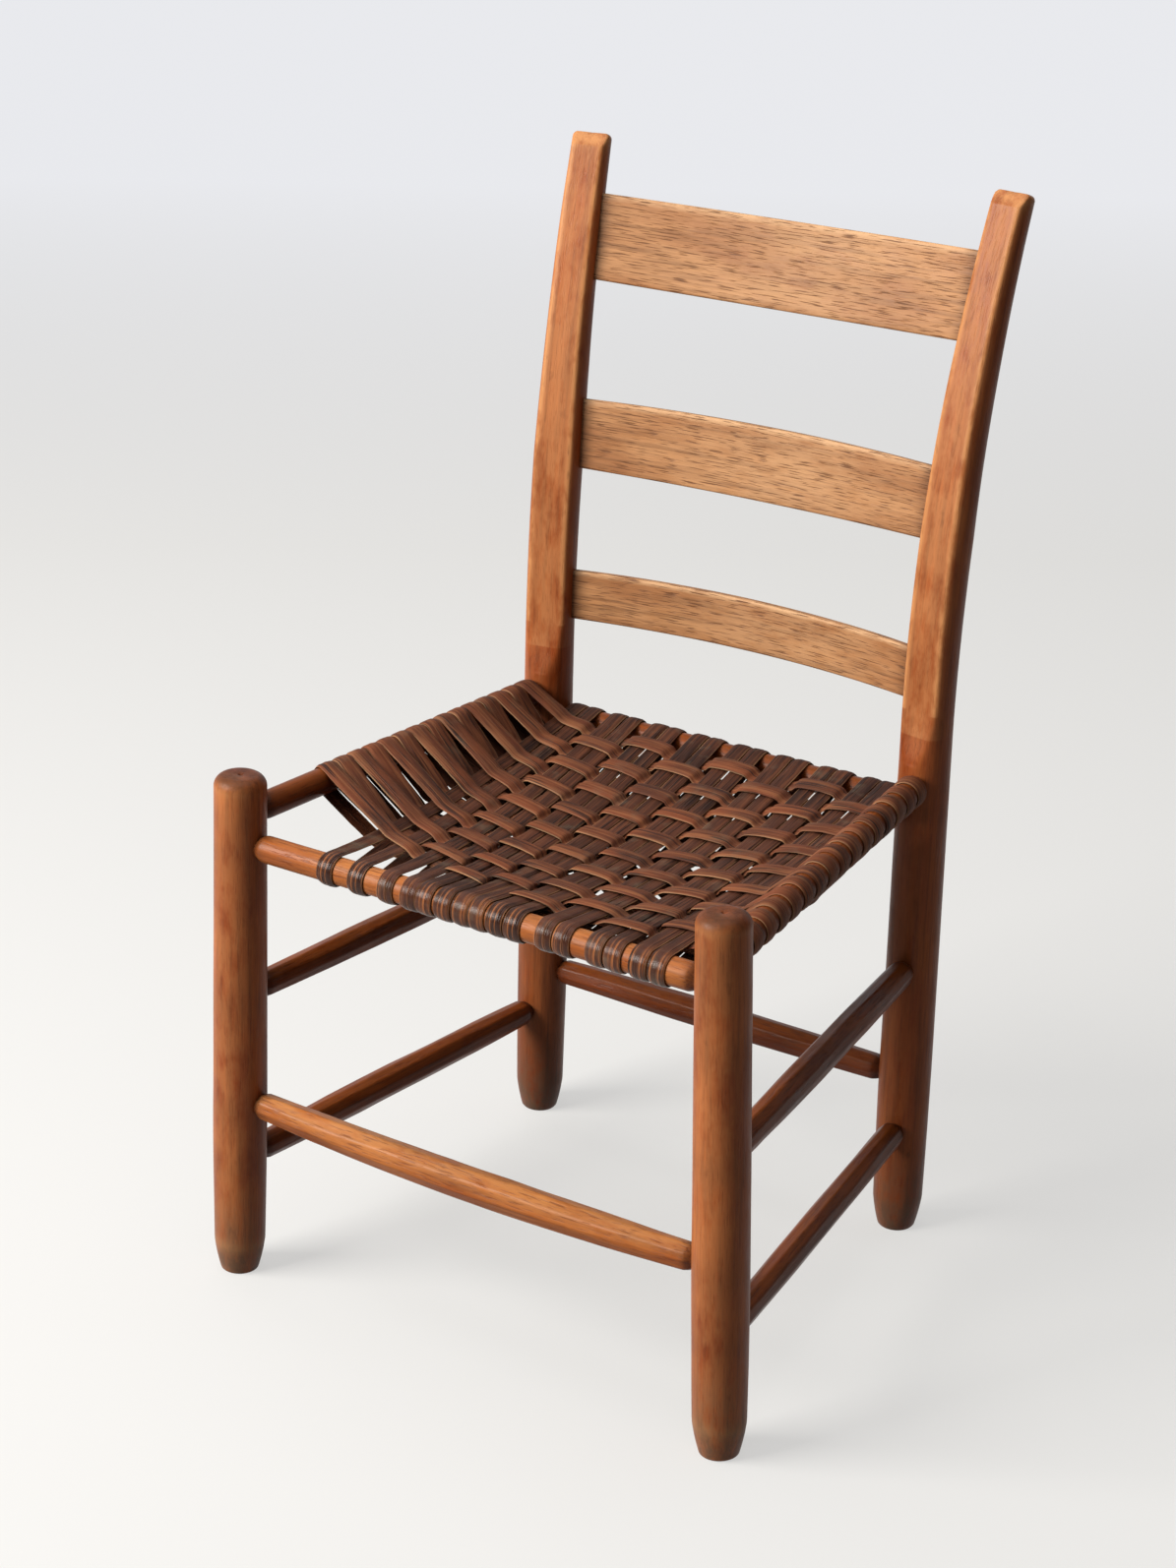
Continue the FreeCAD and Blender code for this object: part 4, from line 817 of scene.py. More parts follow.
def slat(name, level, face, bow, crown, grain_step):
    """A board bent to an arc: bow is how far it curves back, crown how far its top arches."""
    low, high = rear_axis(1, level - face / 2), rear_axis(1, level + face / 2)
    rise = Vector((0, (high - low).y, (high - low).z)).normalized()
    back = rise.cross(Vector((1, 0, 0)))
    middle = (rear_axis(-1, level) + rear_axis(1, level)) / 2
    inner = rear_axis(1, level).x - bent_radius(run_at_height(1, level) - LEG_LENGTH)
    reach = inner + SLAT_TENON
    curve = (inner ** 2 + bow ** 2) / (2 * bow)
    arch = (reach ** 2 + crown ** 2) / (2 * crown)
    level_line = math.sqrt(curve ** 2 - inner ** 2)
    rings = []
    for across in steps_between(-reach, reach, 3.0):
        depth = math.sqrt(curve ** 2 - across ** 2) - level_line
        lean = across / curve
        fall = arch - math.sqrt(arch ** 2 - across ** 2)
        ring = Ring()
        for deep, tall, edge in board_outline(face / 2, face / 2 - fall, SLAT_THICKNESS):
            wavy = 0.35 * noise.noise(Vector((across / 60, tall / 40, grain_step)))
            here = SLAT_SETBACK - SLAT_THICKNESS / 2 + depth + deep * (1 - lean ** 2 / 2) + wavy
            spot = middle + Vector((across + deep * lean, 0, 0)) + back * here + rise * tall
            # A broad pale patch across the front face, right of the middle, is a painted sheen.
            painted_sheen = 0.35 * bell(across - 30, 90) if deep < 1 else 0.0
            # The board is darker near each end, where it goes into a post.
            ring.add(spot, Vector((deep, tall, across)), 0.10 + 0.75 * edge * (tall > 0) + painted_sheen,
                     0.55 * bell(abs(across) - inner, 9))
        rings.append(ring)
    return skin(name, rings, SLAT_WOOD, grain_step)


# Name, height of the middle, face, bow and crown of each slat.
SLATS = (("top_slat", 778.5, 70.4, 17.0, 1.2),
         ("middle_slat", 622.5, 60.0, 14.0, 3.6),
         ("bottom_slat", 485.6, 43.0, 20.0, 1.6))
for number, sizes in enumerate(SLATS):
    slat(*sizes, number + 16)

# %% [markdown]
# ## The path of the bark
#
# The seat is woven from flat strips of inner bark. First the warps: two strips side by side go
# round and round the front and rear rungs. Then the wefts: one strip at a time goes over two
# warps and under two, from side rung to side rung, on top and underneath. Each row is one pair
# over from the row before. Where a strip runs is worked out here as a line of places, each with
# the way its flat side faces and its girth, its width there as a share of its usual width. The
# CAD solids follow the same rule. Here the strips also swell, narrow and arch, and some have
# slipped along the front rung.

# %% Sizes of the weave
BARK_THICKNESS, BARK_PLAY, CROSSING_PLAY = 1.6, 0.3, 0.5
WARP_PAIRS, WARP_WIDTH, WARP_SPLIT, WARP_PITCH = 8, 14.5, 1.0, 40.0
FRONT_WARP_PLACES = (-118.0, -74.0, -38.0, -1.0, 36.0, 78.5, 122.0, 158.5, 188.0)
WEFT_ROWS, WEFT_WIDTH = 15, 16.5
WEFT_LEFT_PITCH, WEFT_MIDDLE_PITCH, WEFT_RIGHT_PITCH = 17.2, 21.2, 21.6
WEFT_SIDE_SETBACK, WEFT_MIDDLE_SETBACK = 31.0, 32.0
SEAT_DISH, UNDERSIDE_SAG, EDGE_MARGIN, SPLICE_GAP = 22.0, 12.0, 1.5, 0.6
WRAP_STEPS, WARP_STEPS, SPLICE_PAIR = 8, 24, 4
FRONT_SEAT_HEIGHT, REAR_SEAT_HEIGHT, SIDE_SEAT_HEIGHT = (
    RUNG_HEIGHTS["%s_seat_rung" % place] for place in ("front", "rear", "left"))
WRAP_INNER = (SEAT_RUNG_RADIUS + BARK_PLAY) / math.cos(math.pi / WRAP_STEPS * 0.6)
WRAP_RADIUS = WRAP_INNER + BARK_THICKNESS / 2
CROSSING = BARK_THICKNESS + CROSSING_PLAY
FRONT_RUNG = (front_axis(1, FRONT_SEAT_HEIGHT).y, FRONT_SEAT_HEIGHT)
REAR_RUNG = (rear_axis(1, REAR_SEAT_HEIGHT).y, REAR_SEAT_HEIGHT)
SPAN = REAR_RUNG[0] - FRONT_RUNG[0]

# Each strand has its own width where it turns over the front rung. Some have slipped to the
# right there, by up to 17 mm.
WRAP_WIDTHS = {-1: (18.0, 19.0, 17.0, 15.2, 14.5, 15.0, 14.0, 14.5),
               1: (10.4, 11.5, 16.0, 14.0, 15.5, 16.5, 17.0, 12.0)}
WRAP_SLIPS = {-1: (0.0, 11.5, 11.0, 6.0, 0.0, 0.0, 0.0, 0.0, 0.0),
              1: (13.0, 17.0, 12.0, 5.0, 0.0, 0.0, 0.0, 0.0, 0.0)}
# Away from the front rung a warp is OPEN_WIDTH wide on top and wider underneath. A weft arches
# by ARCH over a pair, spreads on the side rungs, and drifts along them over DRIFT_LENGTH before
# it leaves them. Its stops at two neighbouring pairs lie at least twice PAIR_GAP apart.
OPEN_WIDTH, UNDER_GIRTH, ARCH = 15.0, 1.28, 1.3
RAIL_GIRTHS, LEFT_GIRTH = {-1: 1.10, 1: 1.14}, 1.06
OVER_GIRTHS, DIVE_GIRTHS = (0.90, 1.12), (0.88, 0.95)
DRIFT_LENGTH, LONGEST_STEP, PAIR_GAP = 22.0, 8.0, 0.7


def rail_middle(side, y):
    """Middle of a side seat rung at a place from front to back."""
    front, rear = front_axis(side, SIDE_SEAT_HEIGHT), rear_axis(side, SIDE_SEAT_HEIGHT)
    return front.lerp(rear, (y - front.y) / (rear.y - front.y))


HALF_SEAT = rail_middle(1, (FRONT_RUNG[0] + REAR_RUNG[0]) / 2).x
print("seat: %.0f mm between rungs, %.0f mm to each side" % (SPAN, HALF_SEAT))

# %% The dished sheet that the warps lie in


def layer_lean(x, layer):
    """Slope at which the warps leave their rungs; layer 1 is the top, -1 the underside."""
    sag = SEAT_DISH if layer > 0 else UNDERSIDE_SAG
    return math.atan(4 * sag * (1 - (x / HALF_SEAT) ** 2) / SPAN)


def layer_ends(x, layer):
    shift = layer * WRAP_RADIUS * math.sin(layer_lean(x, layer))
    return FRONT_RUNG[0] + shift, REAR_RUNG[0] - shift


def layer_height(x, y, layer):
    """Height of the middle of the warps: a sheet that hangs between the two rungs."""
    lean = layer_lean(x, layer)
    start, end = layer_ends(x, layer)
    share = (y - start) / (end - start)
    base = lerp(FRONT_RUNG[1], REAR_RUNG[1], share) + layer * WRAP_RADIUS * math.cos(lean)
    return base - (end - start) * math.tan(lean) * share * (1 - share)


def slope_along(x, y, layer, step_x, step_y):
    ahead_height = layer_height(x + step_x, y + step_y, layer)
    behind_height = layer_height(x - step_x, y - step_y, layer)
    return (ahead_height - behind_height) / (2 * math.hypot(step_x, step_y))


def on_sheet(x, y, layer, way, offset, across_x):
    """A place on the sheet, or offset outside it, and the way it faces."""
    if across_x:
        across = Vector((1, 0, slope_along(x, y, layer, 0.5, 0))).normalized()
    else:
        across = Vector((0, 1, slope_along(x, y, layer, 0, 0.5))).normalized()
    run = Vector((way[0], way[1], slope_along(x, y, layer, way[0], way[1]))).normalized()
    outward = across.cross(run) if across_x else run.cross(across)
    if outward.z * layer < 0:
        outward = -outward
    middle = Vector((x, y, layer_height(x, y, layer) + layer * offset))
    return middle, outward.normalized()


# %% Path of a warp


def rear_place(pair):
    return (pair - (WARP_PAIRS + 1) / 2) * WARP_PITCH


def strand_place(front_pair, rear_pair, strand, share):
    """Middle of a strand that goes from one pair's place in front to one's at the back."""
    middle = lerp(FRONT_WARP_PLACES[front_pair - 1], rear_place(rear_pair), share)
    slip = WRAP_SLIPS[strand][front_pair - 1] * (1 - share) ** 2
    return middle + slip + strand * (WARP_WIDTH + WARP_SPLIT) / 2


def warp_x(pair, strand, share):
    """Middle of a strand from front (share 0) to back (share 1)."""
    return strand_place(pair, pair, strand, share)


def underside_x(pair, strand, share):
    """Underneath, a strand runs from its own pair at the back to the next pair in front."""
    return strand_place(pair + 1, pair, strand, share)


def rung_wrap(x, rung_place, direction, rising, width):
    """Half turn of a warp round the front (direction -1) or rear (direction 1) rung."""
    over, under = -layer_lean(x, 1), math.pi - layer_lean(x, -1)
    start, end = (under, over) if rising else (over, under)
    made = []
    for step in range(WRAP_STEPS + 1):
        angle = lerp(start, end, step / WRAP_STEPS)
        outward = Vector((0, direction * math.sin(angle), math.cos(angle)))
        made.append((Vector((x, rung_place[0], rung_place[1])) + outward * WRAP_RADIUS, outward,
                     width / WARP_WIDTH))
    return made


def warp_pass(x_at, layer, shares):
    girth = OPEN_WIDTH / WARP_WIDTH if layer > 0 else UNDER_GIRTH
    made = []
    for share in shares:
        x = x_at(share)
        start, end = layer_ends(x, layer)
        drift = x_at(share + 0.001) - x_at(share - 0.001)
        way = Vector((drift, 0.002 * (end - start))).normalized()
        made.append(on_sheet(x, lerp(start, end, share), layer, (way.x, way.y), 0.0, True)
                    + (girth,))
    return made


def warp_path(first_pair, last_pair, strand):
    """One unbroken strip round the front and rear rungs, from splice to splice."""
    steps = [number / WARP_STEPS for number in range(1, WARP_STEPS)]
    half_gap = SPLICE_GAP / 2 / SPAN
    entry = [share for share in reversed(steps) if share < 0.5]
    leave = [share for share in reversed(steps) if share > 0.5]
    made = warp_pass(lambda share: underside_x(first_pair - 1, strand, share), -1,
                     [0.5 - half_gap] + entry)
    for pair in range(first_pair, last_pair + 1):
        width = WRAP_WIDTHS[strand][pair - 1]
        made += rung_wrap(warp_x(pair, strand, 0), FRONT_RUNG, -1, True, width)
        made += warp_pass(lambda share: warp_x(pair, strand, share), 1, steps)
        made += rung_wrap(warp_x(pair, strand, 1), REAR_RUNG, 1, False, OPEN_WIDTH)
        if pair < last_pair:
            made += warp_pass(lambda share: underside_x(pair, strand, share), -1,
                              list(reversed(steps)))
    made += warp_pass(lambda share: underside_x(last_pair, strand, share), -1,
                      leave + [0.5 + half_gap])
    return made


# %% Rows of the wefts


def weft_left(row):
    return REAR_RUNG[0] - WEFT_SIDE_SETBACK - WEFT_LEFT_PITCH * (row - 1)


def weft_right(row):
    return REAR_RUNG[0] - WEFT_SIDE_SETBACK - WEFT_RIGHT_PITCH * (row - 1)


def top_row_y(row, x):
    """A top row bows through its places at the left rail, the middle and the right rail."""
    left, right = weft_left(row), weft_right(row)
    middle = REAR_RUNG[0] - WEFT_MIDDLE_SETBACK - WEFT_MIDDLE_PITCH * (row - 1)
    share = x / HALF_SEAT
    return middle + (right - left) / 2 * share + ((right + left) / 2 - middle) * share ** 2


def under_row_y(row, x):
    """Underneath, the strip runs straight from one row's right end to the next one's left."""
    right, left = weft_right(max(row, 1)), weft_left(min(row + 1, WEFT_ROWS))
    return lerp(left, right, (x / HALF_SEAT + 1) / 2)


def settle(row_y, row, lane):
    """Place where a row crosses a lane of warps, found by going back and forth."""
    x = lane(0.5)
    for _ in range(6):
        x = lane((row_y(row, x) - FRONT_RUNG[0]) / SPAN)
    return x


STRAND_X = {1: warp_x, -1: underside_x}
ROW_Y = {1: top_row_y, -1: under_row_y}


def lane_of(pair, layer):
    """Middle of a pair of strands, for a share of the way from front to back."""
    at = STRAND_X[layer]
    return lambda share: (at(pair, -1, share) + at(pair, 1, share)) / 2


def half_pair(pair, layer, y):
    """Half the width of a pair of strands at a place from front to back."""
    share = (y - FRONT_RUNG[0]) / SPAN
    at = STRAND_X[layer]
    return (at(pair, 1, share) - at(pair, -1, share) + OPEN_WIDTH) / 2


def side_taken(pair, row):
    """1 where a row passes outside a pair of warps, -1 where it passes inside."""
    return 1 if (pair + row) % 2 == 0 else -1


def crossings(row, layer):
    """Where a row meets each pair of warps, half the pair's width, and which side it takes."""
    row_y = ROW_Y[layer]
    middle_y = FRONT_RUNG[0] + SPAN / 2
    reach = WEFT_WIDTH / 2 + SPLICE_GAP
    found = []
    for pair in range(1 if layer > 0 else 0, WARP_PAIRS + 1):
        x = settle(row_y, row, lane_of(pair, layer))
        y = row_y(row, x)
        if layer < 0 and pair == 0 and y > middle_y + reach:
            continue
        if layer < 0 and pair == WARP_PAIRS and y < middle_y - reach:
            continue
        found.append((x, half_pair(pair, layer, y), side_taken(pair, row)))
    return found


def weft_place(row, x, layer, side, girth, arch=0.0):
    row_y = ROW_Y[layer]
    way = Vector((1, row_y(row, x + 0.5) - row_y(row, x - 0.5))).normalized()
    offset = side * (CROSSING + arch)
    return on_sheet(x, row_y(row, x), layer, (way.x, way.y), offset, False) + (girth,)


def weft_stations(row, layer, crossed):
    """Each strip narrows where it dives under a pair and spreads and arches over one."""
    made = []
    for number, (middle, half, side) in enumerate(crossed):
        from_rail = number == 0 and layer > 0 and side > 0
        start, end = middle - half - EDGE_MARGIN, middle + half + EDGE_MARGIN
        if number > 0:
            before = crossed[number - 1]
            start = max(start, (before[0] + before[1] + middle - half) / 2 + PAIR_GAP)
        if number + 1 < len(crossed):
            after = crossed[number + 1]
            end = min(end, (after[0] - after[1] + middle + half) / 2 - PAIR_GAP)
        if layer < 0:
            edge, broad = UNDER_GIRTH, UNDER_GIRTH
        else:
            edge, broad = OVER_GIRTHS if side > 0 else DIVE_GIRTHS
        if not from_rail:
            first = LEFT_GIRTH if number == 0 and layer > 0 else edge
            made.append(weft_place(row, start, layer, side, first))
        made.append(weft_place(row, (start + end) / 2, layer, side, broad,
                               ARCH if side > 0 else 0.0))
        made.append(weft_place(row, end, layer, side, edge))
    return made


# %% Path of a weft


def tangent_over(middle, outward, target):
    """How far inside the top of a rail a strip leaves it for a point on the top."""
    inward, rise = -(target - middle).dot(outward), target.z - middle.z
    return math.asin(WRAP_RADIUS / math.hypot(inward, rise)) - math.atan2(rise, inward)


def tangent_under(middle, outward, target):
    """How far outside the bottom of a rail a strip leaves it for a point underneath."""
    inward, drop = -(target - middle).dot(outward), middle.z - target.z
    return math.acos(WRAP_RADIUS / math.hypot(inward, drop)) - math.atan2(inward, drop)


def rail_wrap(side, y, top_target, under_target, rising):
    """Turn of a weft round a side rung, between its two tangents.

    Near the top the strip already drifts along the rung, the way that it will cross the seat.
    """
    middle = rail_middle(side, y)
    along = (rail_middle(side, y + 1) - middle).normalized()
    outward = Vector((side * along.y, -side * along.x, 0))
    over = -tangent_over(middle, outward, top_target)
    under = math.pi - tangent_under(middle, outward, under_target)
    start, end = (under, over) if rising else (over, under)
    slant = (top_target.y - middle.y) / abs(top_target.x - middle.x)
    made = []
    for step in range(WRAP_STEPS + 1):
        angle = lerp(start, end, step / WRAP_STEPS)
        radial = outward * math.sin(angle) + UP * math.cos(angle)
        back = min(abs(angle - over) * WRAP_RADIUS, DRIFT_LENGTH)
        drift = along * (-slant * (back - back ** 2 / (2 * DRIFT_LENGTH)))
        made.append((middle + radial * WRAP_RADIUS + drift, radial, RAIL_GIRTHS[side]))
    return made


def fill_in(path):
    """Stops on the straight way wherever two stops of a path lie far apart."""
    made = [path[0]]
    for before, after in zip(path, path[1:]):
        count = int((after[0] - before[0]).length / LONGEST_STEP)
        if count > 2:
            for number in range(1, count):
                share = number / count
                made.append((before[0].lerp(after[0], share),
                             before[1].lerp(after[1], share).normalized(),
                             lerp(before[2], after[2], share)))
        made.append(after)
    return made


def splice_x(row):
    """The strips are spliced under one pair of warps."""
    return settle(under_row_y, row, lane_of(SPLICE_PAIR, -1))


def weft_path(first_row, last_row):
    """One unbroken strip round the side rungs, from splice to splice."""
    clear = WARP_WIDTH + EDGE_MARGIN
    before, side = splice_x(first_row - 1), side_taken(SPLICE_PAIR, first_row - 1)
    left_part = [item for item in crossings(first_row - 1, -1) if item[0] < before - 1]
    made = [weft_place(first_row - 1, before - SPLICE_GAP / 2, -1, side, 1.0),
            weft_place(first_row - 1, before - clear, -1, side, 1.0)]
    made += list(reversed(weft_stations(first_row - 1, -1, left_part)))
    for row in range(first_row, last_row + 1):
        top = weft_stations(row, 1, crossings(row, 1))
        under = weft_stations(row, -1, crossings(row, -1))
        made += rail_wrap(-1, weft_left(row), top[0][0], made[-1][0], True)
        made += top
        made += rail_wrap(1, weft_right(row), top[-1][0], under[-1][0], False)
        if row < last_row:
            made += list(reversed(under))
    after, side = splice_x(last_row), side_taken(SPLICE_PAIR, last_row)
    right_part = [item for item in crossings(last_row, -1) if item[0] > after + 1]
    made += list(reversed(weft_stations(last_row, -1, right_part)))
    made += [weft_place(last_row, after + clear, -1, side, 1.0),
             weft_place(last_row, after + SPLICE_GAP / 2, -1, side, 1.0)]
    return made


warp_lengths = [sum((b[0] - a[0]).length for a, b in zip(path, path[1:]))
                for path in (warp_path(1, 4, -1), warp_path(5, 8, -1))]
print("a warp strip is about %.1f m long" % (max(warp_lengths) / 1000))

# %% [markdown]
# ## Bark
#
# Split inner bark dries to a dark reddish brown. It is fibrous, so it splits lengthwise into
# fine ridges, its edges turn down and fray to a paler brown, and dust settles in the hollows.
# Where it turns over the front rung, legs have polished it. The material reads two attributes
# that the strips carry, the distance along the strip and the distance across it, so its fibres
# always run along the strip. A third one says how near the edge is.

# %% Bark material
# How far forward the polish of the front rung begins and is full, in metres.
POLISHED_FROM_TO = (-0.208, -0.222)


def bark(name, ground, deep, pale, dust):
    """Dried inner bark: ground and deep tones, pale raised fibres and some dust."""
    material, tree = new_material(name)
    place = add(tree, "ShaderNodeTexCoord").outputs["Object"]
    parts = add(tree, "ShaderNodeSeparateXYZ", {"Vector": place})
    flat = add(tree, "ShaderNodeCombineXYZ", {"X": attribute(tree, "across"),
                                              "Z": attribute(tree, "along")}).outputs["Vector"]

    fibre = speckle(tree, stretched(tree, flat, 0.0009, 0.050), 3.0, 0.6)
    ribbon = speckle(tree, stretched(tree, flat, 0.0030, 0.110), 2.0)
    split = speckle(tree, stretched(tree, flat, 0.0022, 0.070), 1.0)
    tone = speckle(tree, stretched(tree, flat, 0.030, 0.060), 2.0)
    grime = speckle(tree, add(tree, "ShaderNodeMapping", {
        "Vector": place, "Scale": (45, 45, 45)}).outputs["Vector"], 3.0)

    colour = blend(tree, between(tree, tone, 0.38, 0.62), ground, deep)
    colour = blend(tree, between(tree, ribbon, 0.48, 0.64, 0.0, 0.55), colour, pale)
    colour = blend(tree, between(tree, fibre, 0.52, 0.72, 0.0, 0.60), colour, pale)
    colour = blend(tree, between(tree, fibre, 0.46, 0.30, 0.0, 0.60), colour, deep)
    colour = blend(tree, between(tree, split, 0.33, 0.40, 0.9, 0.0), colour, "#1E0F09")
    frayed = times(tree, between(tree, attribute(tree, "edge"), 0.86, 0.99, 0.0, 0.7),
                   between(tree, ribbon, 0.40, 0.60))
    colour = blend(tree, frayed, colour, "#A87F5A")
    colour = blend(tree, between(tree, grime, 0.58, 0.74, 0.0, dust), colour, "#6A5F4E")

    polished = between(tree, parts.outputs["Y"], *POLISHED_FROM_TO)
    golden = times(tree, polished, between(tree, ribbon, 0.50, 0.60, 0.0, 0.75))
    colour = blend(tree, golden, colour, "#9A5C31")
    roughness = between(tree, polished, 0.0, 1.0, 0.66, 0.30)
    relief = add(tree, "ShaderNodeMath", {0: fibre, 1: between(tree, split, 0.33, 0.42)},
                 operation="ADD").outputs[0]
    surface(tree, colour, roughness, relief, 0.8, 0.0006, 0.25)
    return material


WARP_BARK = bark("dark_warp_bark", "#4F2919", "#2C150C", "#714229", 0.35)
WEFT_BARK = bark("weft_bark", "#70391F", "#4A2515", "#965F3C", 0.30)
print("bark finishes:", WARP_BARK.name, WEFT_BARK.name)

# %% [markdown]
# ## Strips, made with Geometry Nodes
#
# A strip follows a path, so a tree of Geometry Nodes makes it. The path is turned into a smooth
# curve that faces the way the weave says. A flat outline with thin, turned-down edges is swept
# along it. Noise along the strip makes it wander, swell and shrink, and fine noise across it
# raises the fibres.

# %% Strip tree
# How fine the noise is along and across a strip, per metre, how much the width varies, and how
# much of the thickness is lost at the edges.
SWELL_RATE, DRIFT_RATE, RIDGE_RATE, RAGGED_RATE = 22.0, 16.0, 14.0, 90.0
RIDGE_RATE_ACROSS, RAGGED_RATE_ACROSS = 340.0, 300.0
UNEVEN_WIDTH, THIN_EDGE = 0.20, 0.45
OUTLINE_POINTS = 34


def strip_tree():
    """From a path that knows its outward, sideways and girth, to a bark strip."""
    tree = bpy.data.node_groups.new("bark_strip", "GeometryNodeTree")
    face = tree.interface
    face.new_socket("Geometry", in_out="INPUT", socket_type="NodeSocketGeometry")
    for label, value in (("Width", 0.0155), ("Thickness", 0.0016), ("Step", 0.0025),
                         ("Curl", -0.0006), ("Wander", 0.0007), ("Ridges", 0.00045),
                         ("Seed", 0.0)):
        face.new_socket(label, in_out="INPUT", socket_type="NodeSocketFloat").default_value = value
    face.new_socket("Finish", in_out="INPUT", socket_type="NodeSocketMaterial")
    face.new_socket("Geometry", in_out="OUTPUT", socket_type="NodeSocketGeometry")
    given = add(tree, "NodeGroupInput").outputs

    def math_of(operation, first, second=0.0):
        return add(tree, "ShaderNodeMath", {0: first, 1: second}, operation=operation).outputs[0]

    def product(first, *others):
        for other in others:
            first = math_of("MULTIPLY", first, other)
        return first

    def powered(value, power):
        return math_of("POWER", math_of("ABSOLUTE", value), power)

    def scaled(vector, factor):
        return add(tree, "ShaderNodeVectorMath", {0: vector, "Scale": factor},
                   operation="SCALE").outputs["Vector"]

    def kept(geometry, name, value):
        return add(tree, "GeometryNodeStoreNamedAttribute", {
            "Geometry": geometry, "Name": name, "Value": value},
            data_type="FLOAT").outputs["Geometry"]

    def read(name, kind="FLOAT"):
        return add(tree, "GeometryNodeInputNamedAttribute", {"Name": name},
                   data_type=kind).outputs["Attribute"]

    def noise_of(x, y, z):
        spot = add(tree, "ShaderNodeCombineXYZ", {"X": x, "Y": y, "Z": z}).outputs["Vector"]
        made = add(tree, "ShaderNodeTexNoise", {"Vector": spot, "Scale": 1.0, "Detail": 2.0})
        return math_of("SUBTRACT", made.outputs["Fac"], 0.5)

    curve = add(tree, "GeometryNodeMeshToCurve", {"Mesh": given["Geometry"]}).outputs["Curve"]
    curve = add(tree, "GeometryNodeCurveSplineType", {"Curve": curve},
                spline_type="CATMULL_ROM").outputs["Curve"]
    curve = add(tree, "GeometryNodeResampleCurve", {"Curve": curve, "Length": given["Step"]},
                mode="LENGTH").outputs["Curve"]
    curve = add(tree, "GeometryNodeSetCurveNormal", {
        "Curve": curve, "Normal": read("outward", "FLOAT_VECTOR")}, mode="FREE").outputs["Curve"]
    length = add(tree, "GeometryNodeSplineParameter").outputs["Length"]
    swell = noise_of(product(length, SWELL_RATE), 0.3, given["Seed"])
    uneven = math_of("ADD", 1.0, product(swell, UNEVEN_WIDTH))
    curve = add(tree, "GeometryNodeSetCurveRadius", {
        "Curve": curve, "Radius": product(read("girth"), uneven)}).outputs["Curve"]
    curve = kept(curve, "along", length)

    outline = add(tree, "GeometryNodeCurvePrimitiveCircle", {
        "Resolution": OUTLINE_POINTS, "Radius": 1.0}, mode="RADIUS").outputs["Curve"]
    corner = add(tree, "ShaderNodeSeparateXYZ", {
        "Vector": add(tree, "GeometryNodeInputPosition").outputs["Position"]}).outputs
    wide = product(math_of("SIGN", corner["X"]), powered(corner["X"], 0.75))
    thick = product(math_of("SIGN", corner["Y"]), powered(corner["Y"], 0.65))
    thin_out = math_of("SUBTRACT", 1.0, product(THIN_EDGE, powered(wide, 4.0)))
    turned = product(given["Curl"], powered(wide, 3.0))
    outline_x = math_of("ADD", product(thick, given["Thickness"], 0.5, thin_out), turned)
    outline_y = product(wide, given["Width"], 0.5)
    outline = kept(outline, "edge", math_of("ABSOLUTE", wide))
    outline = kept(outline, "across", outline_y)
    flat = add(tree, "ShaderNodeCombineXYZ", {"X": outline_x, "Y": outline_y}).outputs["Vector"]
    outline = add(tree, "GeometryNodeSetPosition", {"Geometry": outline,
                                                    "Position": flat}).outputs["Geometry"]

    strip = add(tree, "GeometryNodeCurveToMesh", {"Curve": curve, "Profile Curve": outline,
                                                  "Fill Caps": True}).outputs["Mesh"]
    run, cross = read("along"), read("across")
    drift = noise_of(product(run, DRIFT_RATE), 7.7, given["Seed"])
    ragged = noise_of(product(run, RAGGED_RATE), product(cross, RAGGED_RATE_ACROSS),
                      given["Seed"])
    shift = math_of("ADD", product(drift, given["Wander"], 2.0),
                    product(ragged, read("edge"), given["Wander"], 1.6))
    ridge = noise_of(product(run, RIDGE_RATE), product(cross, RIDGE_RATE_ACROSS), given["Seed"])
    normal = add(tree, "GeometryNodeInputNormal").outputs["Normal"]
    offset = add(tree, "ShaderNodeVectorMath", {
        0: scaled(read("sideways", "FLOAT_VECTOR"), shift),
        1: scaled(normal, product(ridge, given["Ridges"], 2.0))},
        operation="ADD").outputs["Vector"]
    strip = add(tree, "GeometryNodeSetPosition", {"Geometry": strip,
                                                  "Offset": offset}).outputs["Geometry"]
    strip = add(tree, "GeometryNodeSetShadeSmooth", {"Geometry": strip}).outputs["Geometry"]
    strip = add(tree, "GeometryNodeRealizeInstances", {"Geometry": strip}).outputs["Geometry"]
    strip = add(tree, "GeometryNodeSetMaterial", {"Geometry": strip,
                                                  "Material": given["Finish"]})
    add(tree, "NodeGroupOutput", {"Geometry": strip.outputs["Geometry"]})
    return tree


STRIP_TREE = strip_tree()
print("strip tree:", len(STRIP_TREE.nodes), "nodes")

# %% Lay the strips


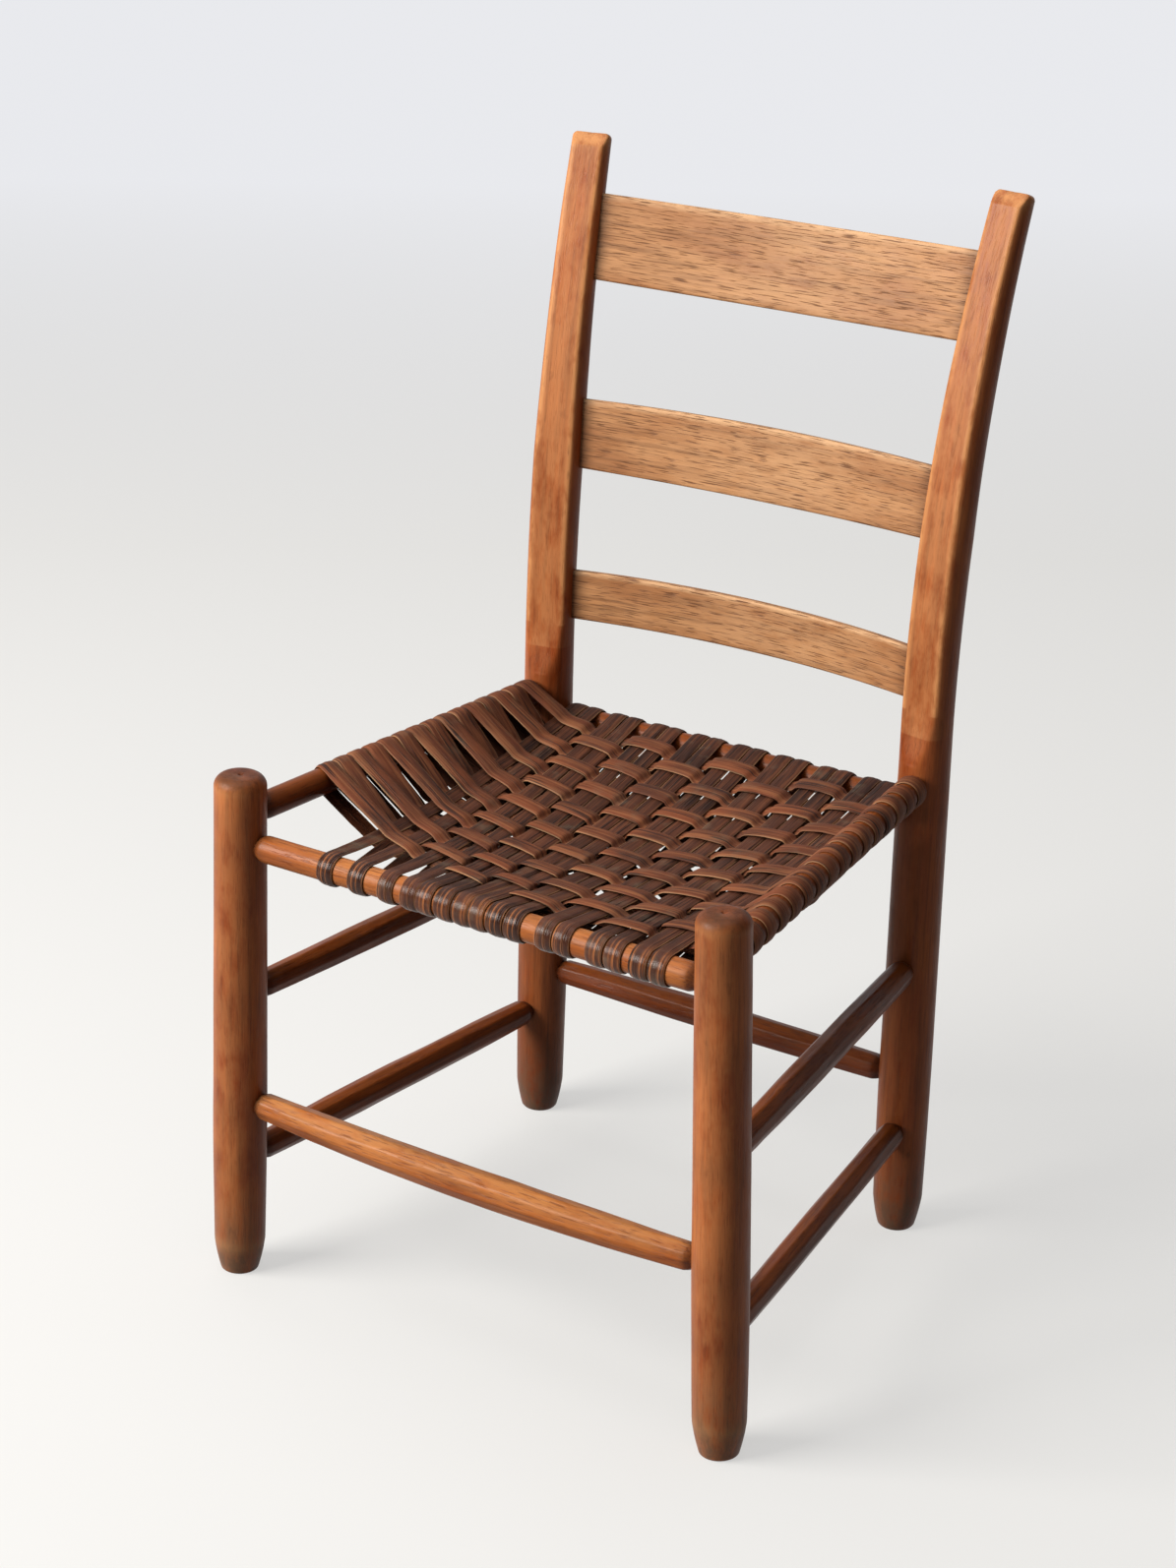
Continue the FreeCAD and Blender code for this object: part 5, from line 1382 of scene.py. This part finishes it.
def path_mesh(name, path):
    """The path as a line of joined points that know which way they face."""
    mesh = bpy.data.meshes.new(name + "_path")
    count = len(path)
    mesh.from_pydata([tuple(middle * MM) for middle, _, _ in path],
                     [(number, number + 1) for number in range(count - 1)], [])
    outward, sideways = [], []
    for number, (_, facing, _) in enumerate(path):
        run = path[min(number + 1, count - 1)][0] - path[max(number - 1, 0)][0]
        outward += list(facing)
        sideways += list(facing.cross(run).normalized())
    for label, values in (("outward", outward), ("sideways", sideways)):
        mesh.attributes.new(label, "FLOAT_VECTOR", "POINT").data.foreach_set("vector", values)
    girths = [girth for _, _, girth in path]
    mesh.attributes.new("girth", "FLOAT", "POINT").data.foreach_set("value", girths)
    return mesh


def lay_strip(name, path, sizes):
    """Sweep a strip along a path and keep it as a plain mesh in place of the CAD strip."""
    source = in_scene(name + "_source", path_mesh(name, path))
    modifier = source.modifiers.new("strip", "NODES")
    modifier.node_group = STRIP_TREE
    for item in STRIP_TREE.interface.items_tree:
        if item.in_out == "INPUT" and item.name in sizes:
            modifier[item.identifier] = sizes[item.name]
    seen = source.evaluated_get(bpy.context.evaluated_depsgraph_get())
    mesh = bpy.data.meshes.new_from_object(seen)
    mesh.name = name + "_bark"
    strip = in_scene(name + "_bark", mesh)
    source.modifiers.remove(modifier)
    bpy.data.objects.remove(source)
    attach(strip, "root")
    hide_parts(name)
    print("%s: %d faces, made of %s" % (name, len(mesh.polygons),
                                        [m.name for m in mesh.materials]))
    return strip


# Each warp strip makes four turns, and each weft strip three or four rows.
for number, (strand, letter) in enumerate(((-1, "a"), (1, "b"))):
    for hand, pairs in (("left", (1, 4)), ("right", (5, 8))):
        lay_strip("warp_strip_%s_%s" % (hand, letter), warp_path(*pairs, strand),
                  {"Width": WARP_WIDTH * MM, "Curl": -0.0005, "Wander": 0.0004,
                   "Seed": 10.0 + number * 3 + len(hand), "Finish": WARP_BARK})
for number, rows in enumerate(((1, 4), (5, 8), (9, 12), (13, WEFT_ROWS))):
    lay_strip("weft_strip_%d" % (number + 1), fill_in(weft_path(*rows)),
              {"Width": WEFT_WIDTH * MM, "Curl": -0.0008, "Wander": 0.0008,
               "Seed": 30.0 + number * 5, "Finish": WEFT_BARK})
